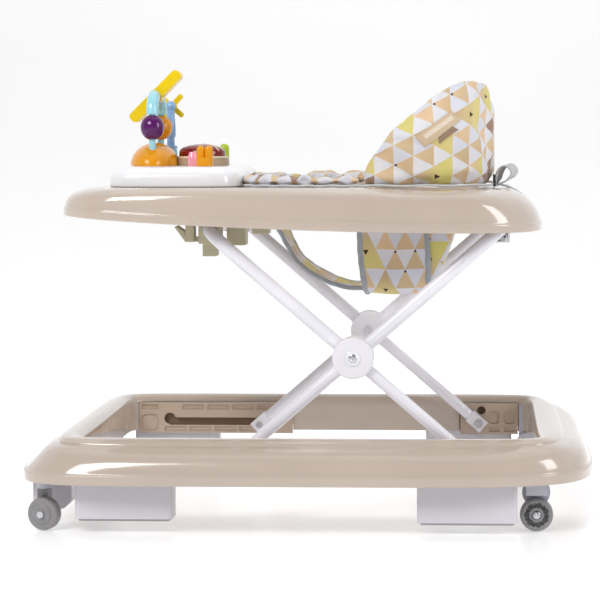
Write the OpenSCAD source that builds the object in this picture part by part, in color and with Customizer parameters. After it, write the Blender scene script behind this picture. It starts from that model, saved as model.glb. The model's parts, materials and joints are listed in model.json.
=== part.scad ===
// Height-adjustable baby walker: a ring-shaped base on four wheels, a folding scissor frame,
// an upper tray with a play panel, and a fabric seat.
// Front is -X, rear is +X, left and right are -Y and +Y, the floor is Z = 0. Millimetres.

/* [Base] */
// Overall length of the base
base_len = 720; // [680:5:760]
// Overall width of the base
base_w = 600; // [570:5:640]
// Height of the rim's lower edge above the floor
rim_z = 62; // [60:1:66]
// Height of the base's crown above the floor
crown_z = 114; // [112:1:116]
// Length of the opening inside the base ring
opening_len = 574; // [560:2:580]
// Width of the opening inside the base ring
opening_w = 458; // [458:1:462]
// Wall thickness of the moulded shells
shell_t = 3; // [2.5:0.5:3.5]

/* [Scissor frame] */
// Height of the lower pivots above the floor
pivot_z = 76; // [74:1:78]
// Distance from the object's centre back to the rear lower pivot
pivot_x = 214; // [210:1:218]
// Arm length from a lower pivot to the hub
arm_low = 207; // [203:1:210]
// Arm length from the hub to an upper pivot
arm_up = 243; // [240:1:246]
// Angle of the arms above the floor at full height
arm_angle = 40.9; // [40:0.1:42]
// Diameter of the upper tubes
tube_d = 17; // [16:0.5:18]
// Half distance between the outer pair of tubes
outer_y = 211; // [210:1:212]
// Half distance between the inner pair of tubes
inner_y = 192; // [190:1:193]
// Bend radius of the tubes at the crossbars
bend_r = 30; // [28:1:32]
// Diameter of the hub discs
hub_d = 52; // [48:1:56]
// Diameter of the steel pivot pins
pin_d = 8; // [7:0.5:9]

/* [Wheels] */
// Radius of the wheels
wheel_r = 20.5; // [19:0.5:21]
// Width of the wheels
wheel_w = 15; // [13:1:16]
// Distance from the centre forward to the front wheels
front_wheel_x = 322; // [318:1:326]
// Distance from the centre back to the rear wheels
rear_wheel_x = 285; // [280:1:290]
// Half distance between the casters' stems
wheel_y = 236; // [234:1:238]
// Turn of the front casters about their stems at rest
caster_turn = 14; // [0:1:20]

/* [Tray] */
// Overall length of the upper tray
tray_len = 616; // [604:2:620]
// Overall width of the upper tray
tray_w = 490; // [480:2:500]
// Height of the tray's top surface
tray_z = 421; // [419:1:422]
// Length of the seat opening
seat_len = 300; // [290:2:304]
// Width of the seat opening
seat_w = 290; // [280:2:296]

/* [Hidden] */
fit = 0.05;
slide_gap = 0.5;
gap = 0.3;

hub_x = pivot_x - arm_low * cos(arm_angle);
hub_z = pivot_z + arm_low * sin(arm_angle);
top_x = hub_x + arm_up * cos(arm_angle);
top_z = hub_z + arm_up * sin(arm_angle);
foot_x = hub_x - arm_low * cos(arm_angle);
carriage_x = hub_x - arm_up * cos(arm_angle);
tray_cx = 297 - tray_len / 2;
seat_cx = 65;
guide_y = opening_w / 2 - 3;
toy_z = 449;
SIDES = [-1, 1];

beige = [0.78, 0.72, 0.66];
white_gloss = [0.93, 0.93, 0.95];
tube_white = [0.9, 0.89, 0.93];
wheel_grey = [0.51, 0.5, 0.51];
stopper_grey = [0.82, 0.82, 0.84];
steel = [0.8, 0.8, 0.82];
carriage_beige = [0.72, 0.7, 0.59];
toy_orange = [0.9, 0.6, 0.08];
toy_yellow = [0.93, 0.83, 0.05];
toy_blue = [0.58, 0.82, 0.88];
fabric_tan = [0.85, 0.76, 0.62];
webbing_grey = [0.68, 0.7, 0.73];

// A point of a superellipse with half axes a and b; a higher power gives squarer corners.
function super_pt(a, b, power, t) =
    [a * sign(cos(t)) * pow(abs(cos(t)), 2 / power), b * sign(sin(t)) * pow(abs(sin(t)), 2 / power)];
function smooth(u) = let (v = min(1, max(0, u))) v * v * (3 - 2 * v);

// Triangles that close a grid of points over `rows` stations in a loop and `cols` points round a section.
function loop_faces(rows, cols) = [for (i = [0 : rows - 1], j = [0 : cols - 1])
    let (a = i * cols + j, b = i * cols + (j + 1) % cols,
        c = ((i + 1) % rows) * cols + (j + 1) % cols, d = ((i + 1) % rows) * cols + j)
    each [[a, b, c], [a, c, d]]];

// A moulded ring between two plan outlines. Each profile point is [share of the way in, height].
module ring_shell(outer, inner, profile, rows) {
    pts = [for (i = [0 : rows - 1], p = profile)
        let (q = outer[i] + (inner[i] - outer[i]) * p[0]) [q[0], q[1], p[1]]];
    polyhedron(points = pts, faces = loop_faces(rows, len(profile)), convexity = 6);
}

// Stacked closed outlines joined into one solid, with flat ends. layers: list of [list of [x, y, z]].
module stacked(layers) {
    rows = len(layers);
    cols = len(layers[0]);
    pts = [for (l = layers, p = l) p];
    sides = [for (i = [0 : rows - 2], j = [0 : cols - 1])
        let (a = i * cols + j, b = i * cols + (j + 1) % cols, c = a + cols, d = b + cols)
        each [[a, d, b], [a, c, d]]];
    bottom = [[for (j = [0 : cols - 1]) j]];
    top = [[for (j = [cols - 1 : -1 : 0]) (rows - 1) * cols + j]];
    polyhedron(points = pts, faces = concat(sides, bottom, top), convexity = 6);
}

module y_cyl(x, y0, y1, z, r) {
    translate([x, min(y0, y1), z]) rotate([-90, 0, 0]) cylinder(r = r, h = abs(y1 - y0), $fn = 48);
}
module box(x0, x1, y0, y1, z0, z1) {
    translate([min(x0, x1), min(y0, y1), z0]) cube([abs(x1 - x0), abs(y1 - y0), z1 - z0]);
}
module rounded_plate(w, h, r, t) {
    linear_extrude(t) union() {
        square([w - 2 * r, h], center = true);
        square([w, h - 2 * r], center = true);
        for (x = SIDES, y = SIDES) translate([x * (w / 2 - r), y * (h / 2 - r)]) circle(r, $fn = 32);
    }
}
// A tube along the arm plane: `s` is measured from a pivot at [x, z] at `angle` above +X.
module arm_frame(x, y, z, angle) { translate([x, y, z]) rotate([0, -angle, 0]) children(); }
module x_cyl(s0, s1, r, bore = 0) {
    translate([s0, 0, 0]) rotate([0, 90, 0]) difference() {
        cylinder(r = r, h = s1 - s0, $fn = 48);
        if (bore > 0) translate([0, 0, -1]) cylinder(r = bore, h = s1 - s0 + 2, $fn = 48);
    }
}

// ---------------------------------------------------------------- base
base_rows = 88;
// The front corners are squarer than the rear ones.
base_outer = [for (i = [0 : base_rows - 1]) let (t = 360 * i / base_rows)
    super_pt(base_len / 2, base_w / 2, cos(t) < 0 ? 7 : 5.2, t)];
base_inner = [for (i = [0 : base_rows - 1]) super_pt(opening_len / 2, opening_w / 2, 6.5, 360 * i / base_rows)];
ring_w = (base_w - opening_w) / 2;
base_profile = [for (p = [[0, rim_z], [0, rim_z + 12], [3, rim_z + 14], [5, 84], [10, 93], [17, 100], [26, 104.5],
    [35, 106.5], [38, 109], [47, 112.5], [56, crown_z], [65, crown_z - 1], [69.5, crown_z - 5], [71, crown_z - 12],
    [71, rim_z + 1], [68, rim_z + 1], [68, crown_z - 12], [66, crown_z - 6], [63, crown_z - 4],
    [56, crown_z - shell_t], [47, 109.5], [40, 105.5], [35, 103.3], [26, 101], [18.5, 97], [12.5, 90.5], [8, 83],
    [4.5, 74], [3, rim_z]]) [p[0] / ring_w, p[1]]];
slot_x0 = -240;
slot_x1 = -78;
slot_h = 11;
keyhole_r = 8.2;
guide_x0 = -277;
guide_x1 = -54;
plate_x0 = 188;
plate_x1 = 270;
panel_z0 = 59;
panel_z1 = 103;

module base_shell() {
    color(beige) difference() {
        ring_shell(base_outer, base_inner, base_profile, base_rows);
        for (s = SIDES) {
            box(guide_x0 - gap, guide_x1 + gap, s * 222, s * 240, panel_z0, panel_z1 + gap);
            box(plate_x0 - gap, plate_x1 + gap, s * 222, s * 240, panel_z0, panel_z1 + gap);
        }
    }
}

// Shallow rounded recess, open on the face that looks into the ring.
module recess(x, z, w, h, y) { translate([x, y, z]) rotate([90, 0, 0]) rounded_plate(w, h, min(w, h) / 3.2, 2.4); }
module slot_guide(s) {
    color(beige) mirror([0, s > 0 ? 0 : 1, 0]) difference() {
        box(guide_x0, guide_x1, guide_y - 3, guide_y - gap, panel_z0, panel_z1);
        box(slot_x0 + 8, slot_x1, guide_y - 10, guide_y + 10, pivot_z - slot_h / 2, pivot_z + slot_h / 2);
        y_cyl(slot_x0 + 8, guide_y - 10, guide_y + 10, pivot_z + 4, keyhole_r);
        y_cyl(slot_x1, guide_y - 10, guide_y + 10, pivot_z, slot_h / 2);
        for (x = [-198 : 36 : -80]) recess(x, 96.5, 31, 7, guide_y - 0.8);
        recess(-261, 96.5, 25, 7, guide_y - 0.8);
        for (x = [-224 : 36 : -116]) recess(x, 65, 31, 7, guide_y - 0.8);
        recess(-261, 74, 25, 24, guide_y - 0.8);
    }
}
module slot_guide_left() { slot_guide(-1); }
module slot_guide_right() { slot_guide(1); }
module rear_pivot_plate(s) {
    color(beige) mirror([0, s > 0 ? 0 : 1, 0]) difference() {
        box(plate_x0, plate_x1, guide_y - 3, guide_y - gap, panel_z0, panel_z1);
        y_cyl(pivot_x, guide_y - 10, guide_y + 10, pivot_z, pin_d / 2 + fit);
        y_cyl(pivot_x + 4, guide_y - 10, guide_y + 10, pivot_z + 17, 6);
        for (x = [236, 258]) recess(x, 83, 15, 19, guide_y - 0.8);
        for (x = [236, 258]) recess(x, 65.5, 15, 7, guide_y - 0.8);
    }
}
module rear_pivot_plate_left() { rear_pivot_plate(-1); }
module rear_pivot_plate_right() { rear_pivot_plate(1); }
module rear_pivot_pins() {
    color(steel) for (s = SIDES) union() {
        y_cyl(pivot_x, s * 201.5, s * (guide_y + 5), pivot_z, pin_d / 2);
        y_cyl(pivot_x, s * (guide_y + 0.2), s * (guide_y + 5), pivot_z, 6);
        y_cyl(pivot_x, s * 199.5, s * 201.6, pivot_z, 5.5);
    }
}

stopper_y0 = 232;
stopper_y1 = 270;
stopper_top = 93;
module stopper_box(x0, x1, z0) {
    for (s = SIDES) difference() {
        translate([(x0 + x1) / 2, s * (stopper_y0 + stopper_y1) / 2, z0])
            rounded_plate(x1 - x0, stopper_y1 - stopper_y0, 5, stopper_top - z0);
        translate([(x0 + x1) / 2, s * (stopper_y0 + stopper_y1) / 2, z0 + 2.5])
            rounded_plate(x1 - x0 - 5, stopper_y1 - stopper_y0 - 5, 3, stopper_top - z0);
    }
}
// Side boxes, and a block under the nose inboard of each caster.
module front_stoppers() {
    color(stopper_grey) union() {
        stopper_box(-284, -163, 17);
        for (s = SIDES) mirror([0, s > 0 ? 0 : 1, 0]) translate([0, 200, 0]) rotate([90, 0, 0]) linear_extrude(24)
            polygon([[-349, 61.5], [-349, 18], [-310, 18], [-300, 27], [-300, 88], [-338, 88], [-338, 61.5]]);
    }
}
module rear_stoppers() { color(stopper_grey) stopper_box(138, 261, 14); }
module stopper_pads() {
    color([0.72, 0.72, 0.75]) for (s = SIDES, b = [[-284, -163, 17], [138, 261, 14]])
        translate([(b[0] + b[1]) / 2, s * (stopper_y0 + stopper_y1) / 2, b[2] - 3])
            rounded_plate(b[1] - b[0] - 8, stopper_y1 - stopper_y0 - 8, 4, 3);
}

// ---------------------------------------------------------------- casters and wheels
stem_x = -front_wheel_x - 6;
stem_r = 5;
// Bushes under the base that the casters' stems turn in.
module front_caster_sockets() {
    color([0.62, 0.62, 0.64]) for (s = SIDES) translate([stem_x, s * wheel_y, 0]) difference() {
        union() {
            translate([0, 0, 50]) cylinder(r = 9, h = 34, $fn = 48);
            translate([0, 0, 57]) cylinder(r = 14, h = 4.5, $fn = 48);
        }
        translate([0, 0, 40]) cylinder(r = stem_r + fit, h = 60, $fn = 48);
    }
}
module caster(s) {
    color(wheel_grey) mirror([0, s > 0 ? 0 : 1, 0]) translate([stem_x, wheel_y, 0]) rotate([0, 0, caster_turn]) union() {
        translate([0, 0, 42]) cylinder(r = stem_r, h = 40, $fn = 48);
        translate([-7, -7.5, 32]) cube([14, 12, 17]);
        difference() {
            translate([-7, -5, 13]) cube([20, 9, 20]);
            translate([6, -8, wheel_r]) rotate([-90, 0, 0]) cylinder(r = 2.5 + fit, h = 30, $fn = 32);
        }
    }
}
module caster_left() { caster(-1); }
module caster_right() { caster(1); }
wheel_in = 5;
module caster_place(s) {
    mirror([0, s > 0 ? 0 : 1, 0]) translate([stem_x, wheel_y, 0]) rotate([0, 0, caster_turn])
        translate([6, wheel_in, wheel_r]) rotate([-90, 0, 0]) children();
}
module caster_screws(s) {
    color(steel) caster_place(s) union() {
        translate([0, 0, -13]) cylinder(r = 2.5, h = 13 + wheel_w + 5, $fn = 32);
        translate([0, 0, wheel_w + 3.4]) cylinder(r = 4.2, h = 2.4, $fn = 32);
        translate([0, 0, -13]) cylinder(r = 4.2, h = 2.4, $fn = 32);
    }
}
module caster_screws_left() { caster_screws(-1); }
module caster_screws_right() { caster_screws(1); }
// A wheel about +Z from z = 0: rounded tread, and either a domed or a dimpled outer face.
module wheel_body(domed) {
    difference() {
        rotate_extrude($fn = 64) polygon(concat([[2.6, 0], [wheel_r - 5, 0]],
            [for (t = [0 : 15 : 90]) [wheel_r - 3 + 3 * sin(t), 3 - 3 * cos(t)]],
            [for (t = [0 : 15 : 90]) [wheel_r - 4 + 4 * cos(t), wheel_w - 4 + 4 * sin(t)]],
            domed ? [for (t = [0 : 18 : 72]) [12.5 * cos(t) + 0.2, wheel_w + 3 * sin(t)]] : [[8, wheel_w]],
            [[2.6, wheel_w + (domed ? 3 : 0)]]));
        if (!domed) for (k = [0 : 6]) rotate(k * 360 / 7 + 4) translate([12, 0, wheel_w - 4])
            cylinder(r = 3, h = 6, $fn = 32);
        if (!domed) translate([0, 0, wheel_w - 2]) cylinder(r = 5.5, h = 4, $fn = 32);
    }
}
module front_wheel_left() { color(wheel_grey) caster_place(-1) wheel_body(true); }
module front_wheel_right() { color(wheel_grey) caster_place(1) wheel_body(true); }
rear_wheel_y = wheel_y - 6;
module rear_place(s) {
    mirror([0, s > 0 ? 0 : 1, 0]) translate([rear_wheel_x, rear_wheel_y, wheel_r]) rotate([-90, 0, 0]) children();
}
module rear_wheel_left() { color(wheel_grey) rear_place(-1) wheel_body(false); }
module rear_wheel_right() { color(wheel_grey) rear_place(1) wheel_body(false); }
module rear_axle_screws() {
    color(steel) for (s = SIDES) rear_place(s) union() {
        translate([0, 0, -12]) cylinder(r = 2.5, h = 12 + wheel_w + 0.5, $fn = 32);
        translate([0, 0, wheel_w - 1.6]) cylinder(r = 4.5, h = 2.8, $fn = 32);
    }
}
module rear_wheel_brackets() {
    color([0.76, 0.76, 0.79]) for (s = SIDES) mirror([0, s > 0 ? 0 : 1, 0]) difference() {
        union() {
            box(rear_wheel_x - 13, rear_wheel_x + 14, rear_wheel_y - 9, rear_wheel_y - 1, 14, 100);
            y_cyl(rear_wheel_x, rear_wheel_y - 15, rear_wheel_y - 9, 45, 17.5);
            box(rear_wheel_x - 13, rear_wheel_x + 14, rear_wheel_y - 9, rear_wheel_y + 12, 44, 61);
        }
        y_cyl(rear_wheel_x, rear_wheel_y - 30, rear_wheel_y + 30, wheel_r, 2.5);
    }
}

// ---------------------------------------------------------------- scissor frame
// A U-shaped tube frame: two side tubes from `start` to the bends, and a crossbar at the upper pivots.
module u_frame(x, z, angle, y, start, low_d) {
    span = arm_low + arm_up;
    difference() {
        arm_frame(x, 0, z, angle) union() {
            for (s = SIDES) mirror([0, s > 0 ? 0 : 1, 0]) {
                translate([0, y, 0]) x_cyl(start, arm_low, low_d / 2, low_d / 2 - 1.5);
                translate([0, y, 0]) x_cyl(arm_low, span - bend_r, tube_d / 2, low_d / 2 - 1.5);
                translate([span - bend_r, y - bend_r, 0]) rotate_extrude(angle = 90, $fn = 64)
                    translate([bend_r, 0]) circle(tube_d / 2, $fn = 32);
            }
            translate([span, -(y - bend_r), 0]) rotate([-90, 0, 0])
                cylinder(r = tube_d / 2, h = 2 * (y - bend_r), $fn = 48);
        }
        y_cyl(hub_x, -300, 300, hub_z, pin_d / 2 + 0.02);
    }
}
low_tube_d = 15;
block_len = 30;
module outer_frame_tube() {
    color(tube_white) u_frame(pivot_x, pivot_z, 180 - arm_angle, outer_y, 16, low_tube_d);
}
module inner_frame_tube() {
    color(tube_white) u_frame(foot_x, pivot_z, arm_angle, inner_y, 16, low_tube_d);
}
// A plastic clamp round one tube at the hub, drilled for the pivot pin.
module hub_block(angle, y, from, to) {
    for (s = SIDES) difference() {
        y_cyl(hub_x, s * from, s * to, hub_z, hub_d / 2 - 1);
        arm_frame(hub_x, s * y, hub_z, angle) x_cyl(-40, 0, low_tube_d / 2 + 0.02);
        arm_frame(hub_x, s * y, hub_z, angle) x_cyl(0, 40, tube_d / 2 + 0.02);
        y_cyl(hub_x, s * (from - 5), s * (to + 5), hub_z, pin_d / 2 + fit);
    }
}
mid_y = (outer_y + inner_y) / 2;
module outer_hub_blocks() { color(tube_white) hub_block(180 - arm_angle, outer_y, mid_y + 0.2, outer_y + 9.5); }
module inner_hub_blocks() { color(tube_white) hub_block(arm_angle, inner_y, inner_y - 9.5, mid_y - 0.2); }
module hub_pins() {
    color(steel) for (s = SIDES) y_cyl(hub_x, s * (inner_y - 10), s * (outer_y + 10), hub_z, pin_d / 2);
}
module hub_caps() {
    color(white_gloss) for (s = SIDES) mirror([0, s > 0 ? 0 : 1, 0])
        translate([hub_x, outer_y + 9.5, hub_z]) rotate([-90, 0, 0]) rotate_extrude($fn = 72)
            polygon(concat([[pin_d / 2 + 0.1, 0], [hub_d / 2, 0]],
                [for (t = [0 : 15 : 90]) [hub_d / 2 - 2 + 2 * cos(t), 2.5 + 2 * sin(t)]],
                [[pin_d / 2 + 0.1, 5]]));
}
module hub_screws() {
    color(steel) for (s = SIDES) {
        y_cyl(hub_x, s * (outer_y + 10.1), s * (outer_y + 15.6), hub_z, 4);
        difference() {
            y_cyl(hub_x, s * (inner_y - 12.5), s * (inner_y - 10.1), hub_z, 5.5);
            y_cyl(hub_x, s * (inner_y - 14), s * (inner_y - 11.5), hub_z, 2);
        }
    }
}
// Rectangular plastic ends that plug into the lower tube ends and carry the pivots.
module end_block(angle, y, x) {
    for (s = SIDES) difference() {
        union() {
            arm_frame(x, s * y, pivot_z, angle) translate([-9, -8, -9]) cube([block_len - 4, 16, 18]);
            arm_frame(x, s * y, pivot_z, angle) x_cyl(16, 34, low_tube_d / 2 - 1.52);
        }
        y_cyl(x, s * (y - 20), s * (y + 20), pivot_z, pin_d / 2 + fit);
    }
}
module rear_foot_blocks() { color(white_gloss) end_block(180 - arm_angle, outer_y, pivot_x); }
module front_foot_blocks() { color(white_gloss) end_block(arm_angle, inner_y, foot_x); }
module foot_rivets() {
    color(steel) for (s = SIDES) difference() {
        y_cyl(foot_x, s * (inner_y - 11), s * (inner_y - 8.3), pivot_z, 4.5);
        y_cyl(foot_x, s * (inner_y - 12), s * (inner_y - 9), pivot_z, 2.5);
    }
}
module foot_sliders() {
    color([0.85, 0.85, 0.87]) for (s = SIDES) union() {
        y_cyl(foot_x, s * (inner_y - 8.2), s * (inner_y + 9), pivot_z, pin_d / 2);
        y_cyl(foot_x, s * (inner_y + 8.4), s * (guide_y + 4), pivot_z, slot_h / 2 - slide_gap);
        y_cyl(foot_x, s * (guide_y + 1.2), s * (guide_y + 4), pivot_z, slot_h / 2 + 1.5);
    }
}

// ---------------------------------------------------------------- height carriages on the outer crossbar
carriage_y0 = 146;
carriage_y1 = 179;
rail_z0 = 391;
rail_z1 = 419.6;
module height_carriages() {
    mid = (carriage_y0 + carriage_y1) / 2;
    color(carriage_beige) for (s = SIDES) mirror([0, s > 0 ? 0 : 1, 0]) difference() {
        union() {
            box(carriage_x - 14, carriage_x + 14, carriage_y0, carriage_y1, 352, 390.4);
            box(carriage_x - 9, carriage_x + 9, carriage_y0 + 2, carriage_y1 - 2, 336, 353);
            box(carriage_x + 13, carriage_x + 46, carriage_y0, carriage_y1, 380, 390.4);
            box(carriage_x + 22, carriage_x + 46, carriage_y0, carriage_y1, 350, 390.4);
            box(carriage_x - 10, carriage_x + 42, mid - 6, mid + 6, 390, 396);
            box(carriage_x - 10, carriage_x + 42, mid - 15, mid + 15, 395, 401);
        }
        y_cyl(carriage_x, carriage_y0 - 5, carriage_y1 + 5, top_z, tube_d / 2 + fit);
        box(carriage_x + 26, carriage_x + 42, carriage_y0 + 4, carriage_y1 - 4, 349, 378);
        box(carriage_x - 17, carriage_x - 7.9, carriage_y0 + 9, carriage_y1 - 9, 353.5, 361);
    }
}
// A squeeze grip in front of each carriage that draws its locking bolt.
module latch(s) {
    color(carriage_beige) mirror([0, s > 0 ? 0 : 1, 0]) union() {
        translate([0, carriage_y1 - 4, 0]) rotate([90, 0, 0]) linear_extrude(carriage_y1 - carriage_y0 - 8)
            polygon([[carriage_x - 20, 378], [carriage_x - 20, 354], [carriage_x - 31, 354], [carriage_x - 45, 373],
                [carriage_x - 42, 374.5], [carriage_x - 33, 368], [carriage_x - 31, 368], [carriage_x - 31, 378]]);
        box(carriage_x - 21, carriage_x - 12.5, carriage_y0 + 9.5, carriage_y1 - 9.5, 354, 360.5);
    }
}
module latch_left() { latch(-1); }
module latch_right() { latch(1); }

// ---------------------------------------------------------------- tray
tray_rows = 72;
tray_a = tray_len / 2;
tray_b = tray_w / 2;
tray_outer = [for (i = [0 : tray_rows - 1]) let (t = 360 * i / tray_rows)
    super_pt(tray_a, tray_b, cos(t) < 0 ? 6 : 4.6, t) + [tray_cx, 0]];
seat_hole = [for (i = [0 : tray_rows - 1]) super_pt(seat_len / 2, seat_w / 2, 3.2, 360 * i / tray_rows) + [seat_cx, 0]];
// The rim's lower edge rises towards the front, and the top is a little higher there.
function tray_low(x) = 367 + 19 * pow(max(0, 265 - x) / 545, 2);
function tray_top(x) = tray_z - 1 + 3 * smooth((120 - x) / 60);
tray_profile_mm = [[0, -1, 0], [0, -1, 10], [2, -1, 12], [4, -1, 24], [8, 0, -14], [15, 0, -7], [25, 0, -2.5],
    [38, 0, 0]];
module upper_tray() {
    pts = [for (i = [0 : tray_rows - 1]) let (
            o = tray_outer[i], h = seat_hole[i], w = norm(h - o), u = (h - o) / w,
            lo = tray_low(o[0]), hi = tray_top(o[0]), hj = tray_top(h[0]))
        each concat(
            [for (p = tray_profile_mm) let (q = o + u * p[0]) [q[0], q[1], (p[1] < 0 ? lo : hi) + p[2]]],
            [for (p = [[-8, 0], [-2, -1.5], [0, -5], [0, -18], [-3, -18], [-3, -6], [-6, -3.2], [-10, -3]])
                let (q = h + u * p[0]) [q[0], q[1], hj + p[1]]],
            [for (p = [[38, 0, -3], [26, 0, -5.6], [17.5, 0, -9.5], [11, 0, -16], [7, -1, 24], [5, -1, 12],
                [3, -1, 10], [3, -1, 0]]) let (q = o + u * p[0]) [q[0], q[1], (p[1] < 0 ? lo : hi) + p[2]]])];
    color(beige) polyhedron(points = pts, faces = loop_faces(tray_rows, 24), convexity = 8);
}
// Inverted channels under the tray that the carriages' heads slide in.
rail_mid = (carriage_y0 + carriage_y1) / 2;
module tray_rails() {
    color([0.7, 0.68, 0.62]) for (s = SIDES) mirror([0, s > 0 ? 0 : 1, 0])
        translate([-256, rail_mid, 0]) rotate([90, 0, 90]) linear_extrude(186) polygon([
            [-19, rail_z1], [19, rail_z1], [19, rail_z0], [7, rail_z0], [7, rail_z0 + 3], [16, rail_z0 + 3],
            [16, rail_z1 - 4], [-16, rail_z1 - 4], [-16, rail_z0 + 3], [-7, rail_z0 + 3], [-7, rail_z0],
            [-19, rail_z0]]);
}
bracket_y0 = 122;
bracket_y1 = 148;
module rear_hinge_brackets() {
    color(white_gloss) for (s = SIDES) mirror([0, s > 0 ? 0 : 1, 0]) difference() {
        box(top_x - 13, top_x + 12, bracket_y0, bracket_y1, 352, 416.6);
        y_cyl(top_x, bracket_y0 - 5, bracket_y1 + 5, top_z, tube_d / 2 + fit);
        y_cyl(top_x + 3, bracket_y0 - 5, bracket_y1 + 5, 356.5, 1.8);
    }
}
module bracket_rivets() {
    color(steel) for (s = SIDES) union() {
        y_cyl(top_x + 3, s * (bracket_y0 - 1.5), s * (bracket_y1 + 1.5), 356.5, 1.8);
        y_cyl(top_x + 3, s * bracket_y1, s * (bracket_y1 + 1.5), 356.5, 3.2);
        y_cyl(top_x + 3, s * (bracket_y0 - 1.5), s * bracket_y0, 356.5, 3.2);
    }
}

// ---------------------------------------------------------------- play panel and toys
toy_cx = -177;
toy_rows = 56;
function toy_outline(grow, z) = [for (i = [0 : toy_rows - 1])
    let (p = super_pt(87 + grow, 158 + grow, 4, 360 * i / toy_rows)) [p[0] + toy_cx, p[1], z]];
knob_x = -142.6;
knob_y = -85;
peg_x = -131;
peg_y = 44;
button_x = -161;
button_y = -62;
module toy_tray() {
    base = tray_top(toy_cx) + gap;
    color(white_gloss) difference() {
        stacked([toy_outline(0, base), toy_outline(0.5, base + 5), toy_outline(-1.5, base + 12),
            toy_outline(-6, base + 19), toy_outline(-12, base + 23.8), toy_outline(-18, toy_z)]);
        translate([knob_x, knob_y, 440]) cylinder(r = 4.3, h = 20, $fn = 32);
        translate([peg_x, peg_y, 438]) cylinder(r = 7, h = 20, $fn = 32);
        translate([button_x, button_y, 438]) cylinder(r = 7.5, h = 20, $fn = 32);
    }
}
arch_x = -216;
arch_y = -10;
arch_half = 40;
arch_z = 541;
shoulder_r = 24;
dome_x = -218;
// Half of a long ellipsoid lying on the play panel.
module arch_dome() {
    rows = 10;
    color(toy_orange) difference() {
        stacked([for (k = [0 : rows]) let (t = 84 * k / rows)
            [for (i = [0 : 39]) [dome_x + 32 * cos(t) * cos(9 * i), arch_y + 62 * cos(t) * sin(9 * i),
                toy_z + 0.2 + 30 * sin(t)]]]);
        translate([drum_x, drum_y, toy_z - 1]) cylinder(r = 36.5, h = 20, $fn = 64);
    }
}
module toy_arch() {
    color(toy_blue) union() {
        y_cyl(arch_x, arch_y - 17, arch_y + 17, arch_z, 4);
        for (s = SIDES) translate([arch_x, arch_y, 0]) mirror([0, s > 0 ? 0 : 1, 0]) {
            translate([0, arch_half - shoulder_r, arch_z - shoulder_r]) rotate([90, 0, 90])
                rotate_extrude(angle = 90, $fn = 64) translate([shoulder_r, 0]) circle(8, $fn = 32);
            translate([0, arch_half, 464]) cylinder(r = 4.5, h = 60, $fn = 32);
        }
    }
}
bead_z = 499.5;
module bead(s) {
    translate([arch_x, arch_y + s * arch_half, bead_z]) rotate_extrude($fn = 64)
        polygon(concat([[4.6, -15.9], [4.6, 15.9]], [for (t = [72 : -12 : -72]) [14.4 * cos(t) + 1.2, 16.6 * sin(t)]]));
}
module purple_bead() { color([0.36, 0.08, 0.4]) bead(-1); }
module orange_bead() { color(toy_orange) bead(1); }
// A two-lobed flapper that tumbles on the arch's crown.
tumbler_tilt = 45;
module tumbler() {
    color(toy_yellow) translate([arch_x, arch_y, arch_z]) rotate([0, -tumbler_tilt, 0]) difference() {
        union() {
            rotate([90, 0, 0]) translate([0, 0, -13]) cylinder(r = 9, h = 26, $fn = 48);
            for (s = SIDES) translate([s * 21, 0, 0]) rotate([90, 0, 0]) translate([0, 0, -13])
                rounded_plate(48, 14.5, 6, 26);
        }
        y_cyl(0, -20, 20, 0, 4 + fit + 0.05);
    }
}
post_x = -208;
post_y = 72;
module toy_post_base() {
    color([0.45, 0.78, 0.87]) translate([post_x, post_y, toy_z + 0.2]) difference() {
        cylinder(r1 = 10.5, r2 = 8.5, h = 21.5, $fn = 48);
        translate([0, 0, 6]) cylinder(r = 4.5, h = 20, $fn = 32);
    }
}
module toy_post() {
    color([0.5, 0.66, 0.86]) translate([post_x, post_y, 0]) union() {
        translate([0, 0, 456]) cylinder(r = 4.4, h = 30, $fn = 32);
        rotate_extrude($fn = 48) polygon([[0, 471], [9, 471], [9, 474], [5.5, 476], [5.2, 485], [6.8, 488], [6.8, 500],
            [5.4, 518], [5.4, 524], [0, 524]]);
        translate([0, 0, 529]) sphere(r = 7.2, $fn = 48);
        y_cyl(0, 5, 19, 529, 2.5);
        y_cyl(0, 18, 20, 529, 4);
    }
}
pinwheel_z = 529;
module pinwheel() {
    color(toy_yellow) translate([post_x, post_y, pinwheel_z]) difference() {
        union() {
            y_cyl(0, 9, 16.5, 0, 7);
            for (k = [0 : 3]) rotate([0, 42 + 90 * k, 0]) translate([12, 12.7, 0]) rotate([90, 0, 0])
                translate([0, 0, -2.5]) rounded_plate(18, 7, 3, 5);
        }
        y_cyl(0, 0, 30, 0, 2.5 + fit + 0.03);
    }
}
drum_x = -156;
drum_y = 0;
drum_r = 31;
module drum_base() {
    color([0.66, 0.58, 0.5]) translate([drum_x, drum_y, toy_z + 0.2]) difference() {
        cylinder(r = 36, h = 9, $fn = 64);
        translate([0, 0, 2]) cylinder(r = 32.5, h = 10, $fn = 64);
    }
}
module drum_trim() {
    color([0.9, 0.84, 0.76]) translate([drum_x, drum_y, 458.2]) difference() {
        cylinder(r = 34.5, h = 3, $fn = 64);
        translate([0, 0, -1]) cylinder(r = 32.5, h = 6, $fn = 64);
    }
}
module drum_button() {
    color([0.45, 0.02, 0.05]) translate([drum_x, drum_y, 0]) rotate_extrude($fn = 64)
        polygon(concat([[0, 456.5], [drum_r, 456.5], [drum_r, 467]],
            [for (t = [1 : 5]) [drum_r * cos(18 * t), 467 + 10.6 * sin(18 * t)]]));
}
module twist_knob() {
    color(toy_orange) translate([knob_x, knob_y, toy_z + gap]) union() {
        translate([0, 0, -8]) cylinder(r = 4.2, h = 9, $fn = 32);
        cylinder(r = 10.8, h = 11, $fn = 48);
        for (s = SIDES) translate([s * 5.2, 0, 11]) cylinder(r = 5.4, h = 10, $fn = 32);
        for (s = SIDES) translate([s * 5.2, 0, 21]) sphere(r = 5.4, $fn = 32);
    }
}
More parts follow.
